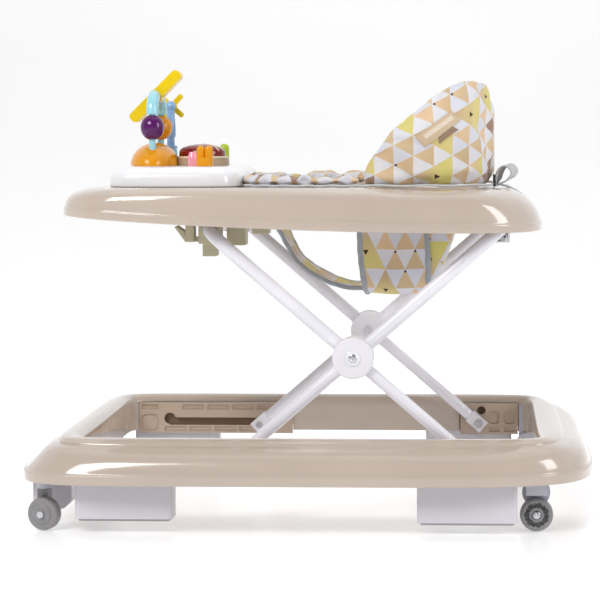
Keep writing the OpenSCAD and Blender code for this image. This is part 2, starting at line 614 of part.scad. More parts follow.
module green_peg() {
    color([0.66, 0.82, 0.15]) translate([peg_x, peg_y, toy_z + gap]) union() {
        translate([0, 0, -6]) cylinder(r = 6.5, h = 28, $fn = 48);
        translate([0, 0, 22]) sphere(r = 6.5, $fn = 32);
    }
}
module pink_button() {
    color([0.93, 0.6, 0.68]) translate([button_x, button_y, toy_z + gap]) union() {
        translate([0, 0, -6]) cylinder(r = 7, h = 16, $fn = 48);
        translate([0, 0, 10]) cylinder(r1 = 7, r2 = 4.5, h = 8, $fn = 48);
    }
}

// ---------------------------------------------------------------- seat
// A padded hem round the seat opening, resting on the tray.
hem_rows = 48;
module hem_ring() {
    sec = [for (t = [0 : 45 : 315]) [12 * cos(t), 7 * sin(t)]];
    mids = [for (i = [0 : hem_rows - 1]) super_pt(seat_len / 2 + 12, seat_w / 2 + 12, 3.2, 360 * i / hem_rows)];
    pts = [for (m = mids, p = sec) let (u = m / norm(m))
        [seat_cx + m[0] + u[0] * p[0], m[1] + u[1] * p[0], 430.8 + p[1]]];
    polyhedron(points = pts, faces = loop_faces(hem_rows, 8), convexity = 4);
}
module seat_hem() {
    color(fabric_tan) difference() {
        hem_ring();
        box(60, 260, -200, 200, 420, 450);
        translate([0, 0, 420]) linear_extrude(30) polygon([for (p = toy_outline(1.2, 0)) [p[0], p[1]]]);
    }
}
// The hanging seat: two hip panels, a back panel, a bottom and a crotch strap, 4 mm thick.
sling_t = 4;
hip_y = 128;
sling_z = 285;
module seat_sling() {
    color(fabric_tan) union() {
        for (s = SIDES) box(60, 152, s * hip_y, s * (hip_y + sling_t), sling_z, 398);
        box(60, 152, -hip_y, hip_y, sling_z, sling_z + sling_t);
        translate([0, hip_y, 0]) rotate([90, 0, 0]) linear_extrude(2 * hip_y)
            polygon([[150, sling_z], [190, 398], [194, 398], [154, sling_z]]);
        translate([0, 55, 0]) rotate([90, 0, 0]) linear_extrude(110) polygon([[60, sling_z], [60, sling_z + 4],
            [40, 291], [18, 299], [-8, 314], [-26, 330], [-44, 362], [-66, 398], [-71, 398], [-50, 362], [-31, 327],
            [-11, 310], [16, 295], [39, 286]]);
    }
}
// A wrap-round back pad: a horseshoe in plan, cut to a sloping crest.
pad_w = 300;
pad_rear = 231.5;
pad_t = 24;
pad_z = 423.5;
module horseshoe(half, rear, r) {
    union() {
        translate([-100, -half]) square([rear - r + 100, 2 * half]);
        translate([-100, -half + r]) square([rear + 100, 2 * half - 2 * r]);
        for (s = SIDES) translate([rear - r, s * (half - r)]) circle(r, $fn = 64);
    }
}
module backrest_pad() {
    color(fabric_tan) intersection() {
        translate([0, 0, pad_z]) linear_extrude(140) difference() {
            horseshoe(pad_w / 2, pad_rear, 95);
            horseshoe(pad_w / 2 - pad_t, pad_rear - pad_t, 75);
        }
        translate([0, 200, 0]) rotate([90, 0, 0]) linear_extrude(400) polygon([[72, pad_z], [68, 437], [72, 455],
            [84, 474], [104, 496], [130, 519], [160, 540], [190, 555], [208, 559], [240, 556], [240, pad_z]]);
    }
}
module label_patch() {
    color([0.8, 0.7, 0.58]) intersection() {
        translate([0, 0, pad_z]) linear_extrude(140) difference() {
            horseshoe(pad_w / 2 + 1.2, pad_rear + 1.2, 96.2);
            horseshoe(pad_w / 2 + 0.4, pad_rear + 0.4, 95.4);
        }
        translate([160, -100, 497]) rotate([90, 0, 0]) rotate([0, 0, 38]) rounded_plate(50, 20, 2, 60);
    }
}
// Webbing loop behind the back pad, with its slide buckle and sewn tab.
strap_y0 = -60;
strap_y1 = -35;
module strap_loop() {
    color(webbing_grey) translate([0, strap_y1, 0]) rotate([90, 0, 0]) linear_extrude(strap_y1 - strap_y0)
        difference() {
            union() { translate([250, 443]) circle(14, $fn = 48); translate([236, 420.6]) square([28, 23]); }
            union() { translate([250, 443]) circle(11.5, $fn = 48); translate([238.5, 420]) square([23, 23.5]); }
        }
}
module strap_buckle() {
    color([0.25, 0.25, 0.27]) difference() {
        box(232.6, 235.7, strap_y0 - 4, strap_y1 + 4, 421, 437);
        box(230, 238, strap_y0, strap_y1, 424, 427);
        box(230, 238, strap_y0, strap_y1, 431, 434);
    }
}
module strap_tab() {
    color(webbing_grey) box(264.4, 280, strap_y0 - 2, strap_y1 + 2, 420.2, 424.8);
}

base_shell();
slot_guide_left();
slot_guide_right();
rear_pivot_plate_left();
rear_pivot_plate_right();
rear_pivot_pins();
front_stoppers();
rear_stoppers();
stopper_pads();
front_caster_sockets();
rear_wheel_brackets();
rear_axle_screws();
caster_left();
caster_right();
caster_screws_left();
caster_screws_right();
front_wheel_left();
front_wheel_right();
rear_wheel_left();
rear_wheel_right();
outer_frame_tube();
outer_hub_blocks();
rear_foot_blocks();
hub_pins();
hub_caps();
hub_screws();
inner_frame_tube();
inner_hub_blocks();
front_foot_blocks();
foot_rivets();
foot_sliders();
height_carriages();
latch_left();
latch_right();
upper_tray();
tray_rails();
rear_hinge_brackets();
bracket_rivets();
toy_tray();
arch_dome();
toy_arch();
purple_bead();
orange_bead();
tumbler();
toy_post_base();
toy_post();
pinwheel();
drum_base();
drum_trim();
drum_button();
twist_knob();
green_peg();
pink_button();
seat_hem();
seat_sling();
backrest_pad();
label_patch();
strap_loop();
strap_buckle();
strap_tab();
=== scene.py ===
import bpy, bmesh, json, math
import numpy as np
from mathutils import Vector, Matrix
from mathutils.bvhtree import BVHTree


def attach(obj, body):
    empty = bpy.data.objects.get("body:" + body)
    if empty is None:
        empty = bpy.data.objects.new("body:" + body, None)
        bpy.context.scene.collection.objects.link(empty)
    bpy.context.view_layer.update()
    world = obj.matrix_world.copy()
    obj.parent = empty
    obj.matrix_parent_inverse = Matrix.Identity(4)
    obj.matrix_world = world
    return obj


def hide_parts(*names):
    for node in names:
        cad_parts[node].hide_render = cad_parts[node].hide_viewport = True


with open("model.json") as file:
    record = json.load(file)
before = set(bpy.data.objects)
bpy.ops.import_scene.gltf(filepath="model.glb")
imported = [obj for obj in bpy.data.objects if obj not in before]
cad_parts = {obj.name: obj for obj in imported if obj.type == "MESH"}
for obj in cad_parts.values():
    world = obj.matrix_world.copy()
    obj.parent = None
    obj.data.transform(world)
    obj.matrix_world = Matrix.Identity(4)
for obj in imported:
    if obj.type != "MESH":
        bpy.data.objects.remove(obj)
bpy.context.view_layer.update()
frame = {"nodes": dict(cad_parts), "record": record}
CAD = frame["nodes"]
scene = bpy.context.scene
scene.view_settings.view_transform = "Standard"
MM = 0.001  # lengths below are in millimetres, times MM, unless a comment says metres

# ======== mesh helpers
def new_object(name, verts, faces, mat, uvs=None, smooth=True):
    me = bpy.data.meshes.new(name)
    me.from_pydata(np.asarray(verts, float).reshape(-1, 3).tolist(), [], faces)
    if uvs is not None:
        layer = me.uv_layers.new(name="print")
        layer.data.foreach_set("uv", np.asarray(uvs, np.float32).ravel())
    me.update()
    me.materials.append(mat)
    if smooth:
        me.shade_smooth()
    ob = bpy.data.objects.new(name, me)
    scene.collection.objects.link(ob)
    return ob

def grid_object(name, P, mat, wrap_i=False, wrap_j=False, U=None, V=None, caps=False):
    """A surface through the points P[i, j]. U and V are print coordinates in metres, and don't wrap round."""
    ni, nj = P.shape[:2]
    faces, uvs = [], []
    for i in range(ni if wrap_i else ni - 1):
        for j in range(nj if wrap_j else nj - 1):
            i2, j2 = (i + 1) % ni, (j + 1) % nj
            faces.append((i * nj + j, i2 * nj + j, i2 * nj + j2, i * nj + j2))
            if U is not None:
                uvs += [(U[a, b], V[a, b]) for a, b in ((i, j), (i + 1, j), (i + 1, j + 1), (i, j + 1))]
    if caps:
        for row, turn in ((0, 1), (ni - 1, -1)):
            js = range(nj)[::turn]
            faces.append(tuple(row * nj + j for j in js))
            if U is not None:
                uvs += [(U[row, j], V[row, j]) for j in js]
    return new_object(name, P, faces, mat, uvs if U is not None else None)

def outward(ob):
    """Faces of a closed piece are turned to look outward."""
    bm = bmesh.new()
    bm.from_mesh(ob.data)
    bmesh.ops.recalc_face_normals(bm, faces=bm.faces)
    bm.to_mesh(ob.data)
    bm.free()
    return ob

def put(ob, body, slot, *nodes):
    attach(ob, body)
    if nodes:
        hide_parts(*nodes)
    return ob

def applied(ob):
    """The piece with its modifiers made real."""
    dg = bpy.context.evaluated_depsgraph_get()
    dg.update()
    me = bpy.data.meshes.new_from_object(ob.evaluated_get(dg), preserve_all_data_layers=True, depsgraph=dg)
    old = ob.data
    ob.modifiers.clear()
    ob.data = me
    bpy.data.meshes.remove(old)
    return ob

def bez(a, b, c, n=8):
    t = np.linspace(0, 1, n)[:, None]
    a, b, c = (np.array(p, float) for p in (a, b, c))
    return ((1 - t) ** 2 * a + 2 * t * (1 - t) * b + t ** 2 * c).tolist()

def chain(*parts):
    """Joins stretches of a profile, dropping repeated points."""
    out = []
    for part in parts:
        for p in part:
            if not out or abs(out[-1][0] - p[0]) + abs(out[-1][1] - p[1]) > 1e-6:
                out.append(list(p))
    return out

def lengths(q):
    """The distance along a line of points, at each point."""
    return np.concatenate([[0], np.cumsum(np.linalg.norm(np.diff(q, axis=0), axis=1))])

def tangents(q):
    t = np.gradient(q, axis=0)
    return t / np.linalg.norm(t, axis=1)[:, None]

def evenly(q, n):
    """n points evenly along the line q, and how far along each is."""
    length = lengths(q)
    at = np.linspace(0, length[-1], n)
    return np.stack([np.interp(at, length, q[:, k]) for k in range(q.shape[1])], 1), at

def curve_through(pts, n):
    """n points evenly along a smooth Catmull-Rom curve through pts."""
    p = np.array(pts, float)
    p = np.vstack([2 * p[0] - p[1], p, 2 * p[-1] - p[-2]])
    out = []
    for k in range(1, len(p) - 2):
        t = np.linspace(0, 1, 24, endpoint=False)[:, None]
        a, b, c, d = p[k - 1], p[k], p[k + 1], p[k + 2]
        out.append(0.5 * (2 * b + (c - a) * t + (2 * a - 5 * b + 4 * c - d) * t ** 2
                          + (3 * b - a - 3 * c + d) * t ** 3))
    return evenly(np.vstack(out + [p[-2][None]]), n)

def tube(name, path, r, mat, sides=14, closed=False, flat=1.0, up=(0, 0, 1)):
    """A round or flattened tube along a path; r may be one radius or one for each point."""
    path = np.array(path, float)
    n = len(path)
    rad = np.broadcast_to(np.asarray(r, float), (n,))
    tan = np.gradient(path, axis=0) if not closed else np.roll(path, -1, 0) - np.roll(path, 1, 0)
    tan /= np.linalg.norm(tan, axis=1)[:, None]
    ref = np.array(up, float)
    side = np.cross(tan, ref)
    side /= np.maximum(np.linalg.norm(side, axis=1), 1e-9)[:, None]
    top = np.cross(side, tan)
    a = np.linspace(0, 2 * np.pi, sides, endpoint=False)
    ca, sa = np.cos(a)[None, :, None], np.sin(a)[None, :, None]
    P = path[:, None] + rad[:, None, None] * (ca * side[:, None] + flat * sa * top[:, None])
    return outward(grid_object(name, P, mat, wrap_i=closed, wrap_j=True, caps=not closed))

def lathe(name, profile, mat, at=(0, 0, 0), axis=(0, 0, 1), sides=64):
    """A turned piece: profile is [radius, height] in metres along the axis."""
    prof = np.array(profile, float)
    a = np.linspace(0, 2 * np.pi, sides, endpoint=False)
    P = np.stack([np.outer(prof[:, 0], np.cos(a)), np.outer(prof[:, 0], np.sin(a)),
                  np.repeat(prof[:, 1][:, None], sides, 1)], 2)
    turn = Vector((0, 0, 1)).rotation_difference(Vector(axis)).to_matrix().to_4x4()
    ob = outward(grid_object(name, P, mat, wrap_j=True, caps=True))
    ob.data.transform(Matrix.Translation(Vector(at)) @ turn)
    bm = bmesh.new()
    bm.from_mesh(ob.data)
    bmesh.ops.remove_doubles(bm, verts=bm.verts, dist=1e-6)
    bm.to_mesh(ob.data)
    bm.free()
    return ob

def cut(ob, *cutters):
    """Boolean cut, made real; the cutters go."""
    for c in cutters:
        m = ob.modifiers.new("cut", "BOOLEAN")
        m.operation, m.solver, m.object = "DIFFERENCE", "EXACT", c
    applied(ob)
    for c in cutters:
        bpy.data.objects.remove(c)
    return ob

def block(name, lo, hi, mat=None):
    x0, y0, z0 = lo
    x1, y1, z1 = hi
    v = [(x, y, z) for x in (x0, x1) for y in (y0, y1) for z in (z0, z1)]
    f = [(0, 1, 3, 2), (4, 6, 7, 5), (0, 4, 5, 1), (2, 3, 7, 6), (0, 2, 6, 4), (1, 5, 7, 3)]
    return outward(new_object(name, v, f, mat, smooth=False))

def side_block(name, side, x, y, z, mat=None):
    """A block on the left (side -1) or right (1); x, y and z are ranges in mm, y outward from the middle."""
    y0, y1 = sorted((side * y[0], side * y[1]))
    return block(name, (x[0] * MM, y0 * MM, z[0] * MM), (x[1] * MM, y1 * MM, z[1] * MM), mat)

def points(ob):
    return np.array([v.co for v in ob.data.vertices])

def move_points(ob, co):
    ob.data.vertices.foreach_set("co", co.ravel())
    ob.data.update()

def thickened(ob, thick, edge, segments=2, angle=math.radians(30)):
    """A surface given a thickness and softened rims, in mm, and made real."""
    solid = ob.modifiers.new("thick", "SOLIDIFY")
    solid.thickness, solid.offset = thick * MM, 0.0
    soft = ob.modifiers.new("soft", "BEVEL")
    soft.width, soft.segments, soft.limit_method, soft.angle_limit = edge * MM, segments, "ANGLE", angle
    return applied(ob)

# ======== materials
class Surface:
    """A node material with short ways to add and join nodes."""
    def __init__(self, name):
        self.mat = bpy.data.materials.new(name)
        self.mat.use_nodes = True
        self.tree = self.mat.node_tree
        self.tree.nodes.clear()
        out = self.tree.nodes.new("ShaderNodeOutputMaterial")
        self.bsdf = self.tree.nodes.new("ShaderNodeBsdfPrincipled")
        self.tree.links.new(self.bsdf.outputs[0], out.inputs[0])
        self.pos = self.tree.nodes.new("ShaderNodeTexCoord").outputs["Object"]
    def node(self, kind, ins=None, **props):
        n = self.tree.nodes.new("ShaderNode" + kind)
        for k, v in props.items():
            setattr(n, k, v)
        for k, v in (ins or {}).items():
            self.feed(n.inputs[k], v)
        return n
    def feed(self, socket, v):
        if isinstance(v, bpy.types.NodeSocket):
            self.tree.links.new(v, socket)
        else:
            socket.default_value = v
    def math(self, op, a, b=0.0, c=None):
        n = self.node("Math", {0: a, 1: b}, operation=op)
        if c is not None:
            self.feed(n.inputs[2], c)
        return n.outputs[0]
    def noise(self, scale, detail=2.0, rough=0.5, stretch=(1, 1, 1), where=None):
        m = self.node("Mapping", {"Vector": where or self.pos, "Scale": stretch})
        return self.node("TexNoise", {"Vector": m.outputs[0], "Scale": scale, "Detail": detail,
                                      "Roughness": rough}).outputs["Fac"]
    def ramp(self, fac, lo, hi, a=0.0, b=1.0):
        return self.node("MapRange", {0: fac, 1: lo, 2: hi, 3: a, 4: b}).outputs[0]
    def mix(self, fac, a, b, how="MIX"):
        n = self.node("Mix", data_type="RGBA", blend_type=how)
        for k, v in ((0, fac), (6, a), (7, b)):
            self.feed(n.inputs[k], v)
        return n.outputs[2]
    def bump(self, height, distance, strength=1.0, under=None):
        n = self.node("Bump", {"Height": height, "Distance": distance, "Strength": strength})
        if under is not None:
            self.feed(n.inputs["Normal"], under)
        return n.outputs[0]
    def set(self, **kw):
        for k, v in kw.items():
            self.feed(self.bsdf.inputs[k.replace("_", " ")], v)
        return self

def rgb(r, g, b):
    """A colour given as it looks on a screen, 0-255."""
    f = lambda c: (c / 255 / 12.92) if c <= 10 else ((c / 255 + 0.055) / 1.055) ** 2.4
    return (f(r), f(g), f(b), 1.0)

def shade(c, k):
    return (min(1, c[0] * k), min(1, c[1] * k), min(1, c[2] * k), 1.0)

def plastic(name, colour, rough=0.3, coat=0.0, grain=1400, depth=0.00002, sub=0.0, vary=0.05, ior=1.46):
    """Moulded plastic: slow flow marks in the colour, fine texture, faint rub marks in the gloss."""
    s = Surface(name)
    flow = s.noise(9, 3, 0.55)
    fine = s.noise(grain, 2, 0.6)
    rub = s.noise(60, 4, 0.65, (1, 1, 1.6))
    tone = s.mix(s.ramp(flow, 0.3, 0.7), shade(colour, 1 - vary), shade(colour, 1 + vary * 0.6))
    tone = s.mix(s.ramp(rub, 0.62, 0.8, 0, 0.05), tone, shade(colour, 1.15))
    s.set(Base_Color=tone, Roughness=s.ramp(rub, 0.35, 0.75, rough * 0.85, rough * 1.3), IOR=ior,
          Coat_Weight=coat, Coat_Roughness=0.06)
    s.set(Normal=s.bump(fine, depth, 0.5, s.bump(flow, 0.0004, 0.12)))
    if sub:
        s.set(Subsurface_Weight=sub, Subsurface_Scale=0.004)
        s.bsdf.inputs["Subsurface Radius"].default_value = (1.0, 0.7, 0.5)
    return s.mat

def metal(name, colour, rough, grain=(1, 1, 1), scale=900, depth=0.00002):
    s = Surface(name)
    lines = s.noise(scale, 3, 0.6, grain)
    stain = s.noise(70, 3, 0.6)
    s.set(Base_Color=s.mix(s.ramp(stain, 0.3, 0.75), shade(colour, 0.86), colour),
          Roughness=s.ramp(lines, 0.3, 0.7, rough * 0.7, rough * 1.5), Normal=s.bump(lines, depth, 0.6))
    s.bsdf.inputs["Metallic"].default_value = 1.0
    return s.mat

def painted(name, colour):
    """Powder coat: orange peel and a faint cool tint."""
    s = Surface(name)
    peel = s.noise(520, 2, 0.45)
    slow = s.noise(14, 2, 0.5)
    tone = s.mix(s.ramp(slow, 0.3, 0.7), shade(colour, 0.95), shade(colour, 1.03))
    s.set(Base_Color=tone, Roughness=s.ramp(slow, 0.3, 0.7, 0.2, 0.3), Coat_Weight=0.5, Coat_Roughness=0.05,
          Normal=s.bump(peel, 0.00005, 0.35))
    return s.mat

COLUMN, THREADS = 0.0252, 1600.0  # the print's column width in metres, the threads in a metre
def fabric(name, base=None):
    """Plain-weave polyester, printed with triangles in columns 25 mm wide; with base, one plain colour."""
    s = Surface(name)
    uv = s.node("UVMap", uv_map="print").outputs[0]
    xyz = s.node("SeparateXYZ", {0: uv})
    u, v = xyz.outputs[0], xyz.outputs[1]
    white, lav = rgb(232, 228, 232), rgb(214, 214, 228)
    tan, peach, dark_tan = rgb(214, 190, 152), rgb(228, 196, 158), rgb(198, 172, 134)
    lime, brown, ink = rgb(216, 208, 116), rgb(160, 130, 110), rgb(52, 34, 26)

    def times(a, b):
        return s.math("MULTIPLY", a, b)
    def minus(a, b):
        return s.math("SUBTRACT", a, b)
    def above(x, t):
        return s.math("GREATER_THAN", x, t)
    def below(x, t):
        return s.math("LESS_THAN", x, t)

    def cells(edge):
        """Columns cut into triangles: share across, left or right, a random value and colour, offset."""
        col = s.math("DIVIDE", u, edge)
        ci = s.math("FLOOR", col)
        fu = minus(col, ci)
        odd = times(s.math("FLOORED_MODULO", ci, 2.0), 0.5)
        vv = s.math("ADD", s.math("DIVIDE", v, edge), odd)
        half = times(fu, 0.5)
        n1 = s.math("FLOOR", minus(vv, half))
        n2 = s.math("FLOOR", s.math("ADD", vv, half))
        left = minus(n2, n1)
        key = s.node("CombineXYZ", {0: ci, 1: n1, 2: n2}).outputs[0]
        rnd = s.node("TexWhiteNoise", {"Vector": key}, noise_dimensions="3D")
        off = s.math("ABSOLUTE", minus(vv, n2))
        return fu, left, rnd.outputs["Value"], rnd.outputs["Color"], off

    fu, left, r, rc, off = cells(COLUMN)
    r2 = s.node("SeparateColor", {0: rc}).outputs[1]
    pale = s.mix(r, white, lav)
    pale = s.mix(times(fu, 0.5), pale, rgb(205, 216, 220))
    warm = s.mix(s.ramp(r, 0.35, 0.9), tan, peach)
    warm = s.mix(times(times(fu, r2), 0.8), warm, dark_tan)
    warm = s.mix(times(above(r, 0.90), s.ramp(fu, 0.2, 1.0, 0, 0.8)), warm, lime)
    warm = s.mix(above(r2, 0.93), warm, brown)
    tip = times(above(r2, 0.55), times(below(fu, 0.16), below(r2, 0.82)))
    warm = s.mix(tip, warm, ink)
    colour = s.mix(left, pale, warm)

    fb, lb, rb, rcb, ob = cells(2 * COLUMN)
    rb2 = s.node("SeparateColor", {0: rcb}).outputs[1]
    big = s.mix(s.ramp(fb, 0.15, 0.75), s.mix(rb2, tan, dark_tan), s.mix(rb2, lime, rgb(222, 204, 138)))
    wedge = times(times(above(fb, 0.52), below(fb, 0.66)),
                 below(ob, times(minus(0.66, fb), 0.48)))
    big = s.mix(wedge, big, ink)
    stem = times(below(ob, 0.016), times(above(fb, 0.3), below(fb, 0.9)))
    saw = times(s.math("FRACT", times(fb, 4.5)), 0.17)
    twig = times(below(s.math("ABSOLUTE", minus(ob, saw)), 0.013), times(above(fb, 0.45), below(ob, 0.14)))
    bark = s.mix(s.math("MAXIMUM", stem, twig), brown, ink)
    use_big = times(lb, above(rb, 0.70))
    colour = s.mix(use_big, colour, s.mix(above(rb, 0.91), big, bark))
    if base is not None:
        colour = base

    warp, weft = (s.math("SINE", times(times(way, THREADS), 3.14159)) for way in (u, v))
    threads = times(warp, weft)
    wear = s.noise(38, 4, 0.6)
    crease = s.noise(16, 3, 0.55, (1, 1, 0.6))
    fuzz = s.noise(900, 2, 0.6)
    colour = s.mix(s.ramp(wear, 0.3, 0.75, 0.0, 0.10), colour, s.mix(0.5, colour, rgb(168, 150, 130)))
    colour = s.mix(s.ramp(threads, -1, 1, 0.0, 0.10), colour,
                   s.mix(1.0, colour, (0.55, 0.55, 0.55, 1), "MULTIPLY"))
    s.set(Base_Color=colour, Roughness=s.ramp(fuzz, 0.3, 0.7, 0.78, 0.92), Sheen_Weight=0.25,
          Sheen_Roughness=0.5)
    s.bsdf.inputs["Specular IOR Level"].default_value = 0.3
    s.set(Normal=s.bump(threads, 0.00006, 0.6, s.bump(crease, 0.004, 0.35, s.bump(fuzz, 0.00008, 0.3))))
    return s.mat

def webbing(name, colour, pitch=1500):
    """Ribbed woven tape: ribs across, with painted shade in the grooves and painted highlight on the rib
    tops, and a darker thread here and there.
    """
    s = Surface(name)
    xyz = s.node("SeparateXYZ", {0: s.pos})
    rib = s.math("SINE", s.math("MULTIPLY", s.math("ADD", xyz.outputs[0], xyz.outputs[2]), float(pitch) * 2))
    cross = s.math("SINE", s.math("MULTIPLY", xyz.outputs[1], float(pitch) * 2.4))
    h = s.math("ADD", s.math("MULTIPLY", rib, 0.5), s.math("MULTIPLY", cross, 0.35))
    fuzz = s.noise(700, 3, 0.6)
    # painted shade and painted highlight: the colour is darker where the ribs are low and lighter where they
    # are high
    tone = s.mix(s.ramp(h, -0.8, 0.8), shade(colour, 0.78), shade(colour, 1.08))
    tone = s.mix(s.ramp(fuzz, 0.45, 0.75, 0, 0.35), tone, shade(colour, 0.7))
    s.set(Base_Color=tone, Roughness=0.82, Sheen_Weight=0.3,
          Normal=s.bump(h, 0.00015, 0.7, s.bump(fuzz, 0.0002, 0.4)))
    return s.mat

M = {
    "beige_shell": plastic("beige_shell_gloss", rgb(190, 175, 162), 0.15, 0.7, 900, 0.00001),
    "beige_panel": plastic("beige_panel_satin", rgb(186, 166, 148), 0.42, 0.1, 900, 0.00003),
    "white_shell": plastic("white_shell_gloss", rgb(238, 238, 241), 0.2, 0.5, 900, 0.00001, vary=0.02),
    "frame_paint": painted("frame_powder_coat", rgb(232, 230, 238)),
    "white_plastic": plastic("white_satin_plastic", rgb(228, 226, 232), 0.36, 0.15, 700, 0.00003, vary=0.03),
    "steel_pin": metal("zinc_steel", rgb(196, 196, 200), 0.32, (1, 6, 1)),
    "screw_chrome": metal("bright_screw", rgb(214, 214, 218), 0.2, (6, 1, 6)),
    "wheel_grey": plastic("wheel_grey_plastic", rgb(140, 138, 140), 0.42, 0.1, 500, 0.00006, vary=0.06),
    "bracket_grey": plastic("bracket_grey_plastic", rgb(196, 196, 206), 0.38, 0.1, 600, 0.00004),
    "stopper_grey": plastic("stopper_grey_plastic", rgb(212, 210, 216), 0.45, 0.05, 600, 0.00005, vary=0.03),
    "pad_rubber": plastic("pad_rubber_soft", rgb(172, 172, 178), 0.75, 0.0, 400, 0.00012),
    "carriage_beige": plastic("carriage_olive_beige", rgb(188, 181, 152), 0.42, 0.1, 700, 0.00004),
    "toy_orange": plastic("toy_orange_gloss", rgb(230, 154, 0), 0.24, 0.12, 900, 0.00001),
    "toy_yellow": plastic("toy_yellow_gloss", rgb(238, 204, 0), 0.24, 0.12, 900, 0.00001),
    "toy_purple": plastic("toy_purple_gloss", rgb(84, 6, 92), 0.16, 0.15, 900, 0.00001),
    "drum_tan": plastic("drum_tan_satin", rgb(176, 154, 130), 0.4, 0.1, 700, 0.00003),
    "drum_cream": plastic("drum_cream_gloss", rgb(232, 216, 192), 0.26, 0.4, 900, 0.00001),
    "buckle_dark": plastic("buckle_dark_plastic", rgb(58, 58, 62), 0.34, 0.2, 800, 0.00003),
    "seat_fabric": fabric("printed_fabric"),
    "label_pale": fabric("label_pale_thread", base=rgb(226, 212, 192)),
    "label_brown": fabric("label_brown_thread", base=rgb(150, 124, 100)),
    # this dark brown is painted shade, for the hollow inside the ring seen through the slots
    "painted_slot_shade": plastic("painted_slot_shade_plastic", rgb(126, 103, 86), 0.7, 0.0, 500, 0.00006),
    # this dark grey is painted shade, for the dimples on the rear wheels
    "pocket_painted_shade": plastic("pocket_painted_shade_plastic", rgb(74, 72, 74), 0.6, 0.0, 500, 0.00006),
    "binding": webbing("binding_tape", rgb(168, 173, 180)),
    "piping": webbing("piping_tape", rgb(206, 210, 212), pitch=1200),
    "webbing": webbing("strap_webbing", rgb(196, 194, 194)),
    "label_tan": fabric("label_weave", base=rgb(206, 182, 152)),
    "stitch": webbing("stitch_thread", rgb(214, 206, 190), pitch=3000),
}
for slot, colour in (("toy_light_blue", (158, 214, 228)), ("toy_periwinkle", (138, 178, 226)),
                     ("toy_cyan", (112, 196, 222)), ("toy_green", (178, 206, 40)),
                     ("toy_pink", (240, 160, 180))):
    M[slot] = plastic(slot + "_gloss", rgb(*colour), 0.2, 0.5, 900, 0.00001, sub=0.08)
red = Surface("drum_red_lens")
red_flow = red.noise(30, 2)
red.set(Base_Color=red.mix(red_flow, rgb(104, 0, 6), rgb(150, 2, 12)), Roughness=0.08, IOR=1.45,
        Coat_Weight=0.15,
        Normal=red.bump(red_flow, 0.0002, 0.2))
red.bsdf.inputs["Transmission Weight"].default_value = 0.15
M["toy_red"] = red.mat

# ======== CAD nodes that stay, with their finish
SLOT_OF = {p["node"]: p["material_slot"] for p in frame["record"]["subparts"]}
ROUNDING = {  # bevel width in mm; the other nodes keep their tessellated edges, only split by angle
    0.4: "foot_rivets",
    0.5: "slot_guide_left slot_guide_right rear_pivot_plate_left rear_pivot_plate_right tray_rails "
         "rear_pivot_pins bracket_rivets drum_trim strap_buckle",
    0.6: "foot_sliders toy_post_base",
    0.8: "stopper_pads drum_base front_caster_sockets",
    1.0: "latch_left latch_right pinwheel",
    1.2: "front_stoppers rear_stoppers rear_wheel_brackets caster_left caster_right",
    1.3: "height_carriages",
    1.4: "rear_foot_blocks front_foot_blocks rear_hinge_brackets",
    1.6: "tumbler",
}
WIDTH_OF = {name: width for width, names in ROUNDING.items() for name in names.split()}
for name, ob in CAD.items():
    me = ob.data
    me.materials.clear()
    me.materials.append(M[SLOT_OF[name]])
    if "custom_normal" in me.attributes:
        me.attributes.remove(me.attributes["custom_normal"])
    me.shade_smooth()
    weld = ob.modifiers.new("weld", "WELD")
    weld.merge_threshold = 0.00002
    width = WIDTH_OF.get(name)
    if width:
        bev = ob.modifiers.new("round", "BEVEL")
        bev.width, bev.segments, bev.limit_method, bev.angle_limit = width * MM, 2, "ANGLE", math.radians(32)
        bev.harden_normals, bev.use_clamp_overlap, bev.miter_outer = True, True, "MITER_ARC"
    else:
        split = ob.modifiers.new("edges", "EDGE_SPLIT")
        split.split_angle = math.radians(34)

# ======== camera, floor, light
cam = bpy.data.objects.new("camera", bpy.data.cameras.new("camera"))
scene.collection.objects.link(cam)
scene.camera = cam
YAW, PITCH, ROLL = 0.0462, -0.0411, -0.0023
cam.data.lens, cam.data.sensor_width = 136.28, 36.0
cam.data.shift_x, cam.data.shift_y = -0.12, -0.12
cam.data.clip_start, cam.data.clip_end = 0.1, 60.0
fwd = Vector((-math.sin(YAW) * math.cos(PITCH), math.cos(YAW) * math.cos(PITCH), math.sin(PITCH)))
side0 = fwd.cross(Vector((0, 0, 1))).normalized()
up0 = side0.cross(fwd)
side = side0 * math.cos(ROLL) + up0 * math.sin(ROLL)
up = side.cross(fwd)
turn = Matrix((side, up, -fwd)).transposed().to_4x4()
cam.matrix_world = Matrix.Translation((0.2116, -3.0322, 0.4894)) @ turn

floor_mat = Surface("studio_floor")
grit = floor_mat.noise(3, 2)
floor_mat.set(Emission_Color=(1, 1, 1, 1), Emission_Strength=0.3)
floor_mat.set(Base_Color=floor_mat.mix(grit, rgb(240, 240, 241), rgb(243, 243, 244)),
              Roughness=floor_mat.ramp(grit, 0.3, 0.7, 0.2, 0.22),
              Normal=floor_mat.bump(grit, 0.0001, 0.05))
# from behind or below the sweep is clear, so the part shows from every side
clear = floor_mat.node("MixShader", {0: floor_mat.node("NewGeometry").outputs["Backfacing"],
                                     1: floor_mat.bsdf.outputs[0],
                                     2: floor_mat.node("BsdfTransparent").outputs[0]})
floor_mat.tree.links.new(clear.outputs[0], floor_mat.tree.nodes["Material Output"].inputs[0])
cove = [(1.6 + 1.6 * math.sin(a), 1.6 - 1.6 * math.cos(a)) for a in np.linspace(0.05, math.pi / 2, 24)]
sweep = [(-9.0, -0.0004), (1.6, -0.0004)] + cove + [(3.2, 9.0)]
strips = np.array([[(x, y, z) for y, z in sweep] for x in (-14.0, -4.0, 4.0, 14.0)])
floor = grid_object("studio_floor", strips, floor_mat.mat)
if floor.data.polygons[0].normal.z < 0:
    floor.data.flip_normals()

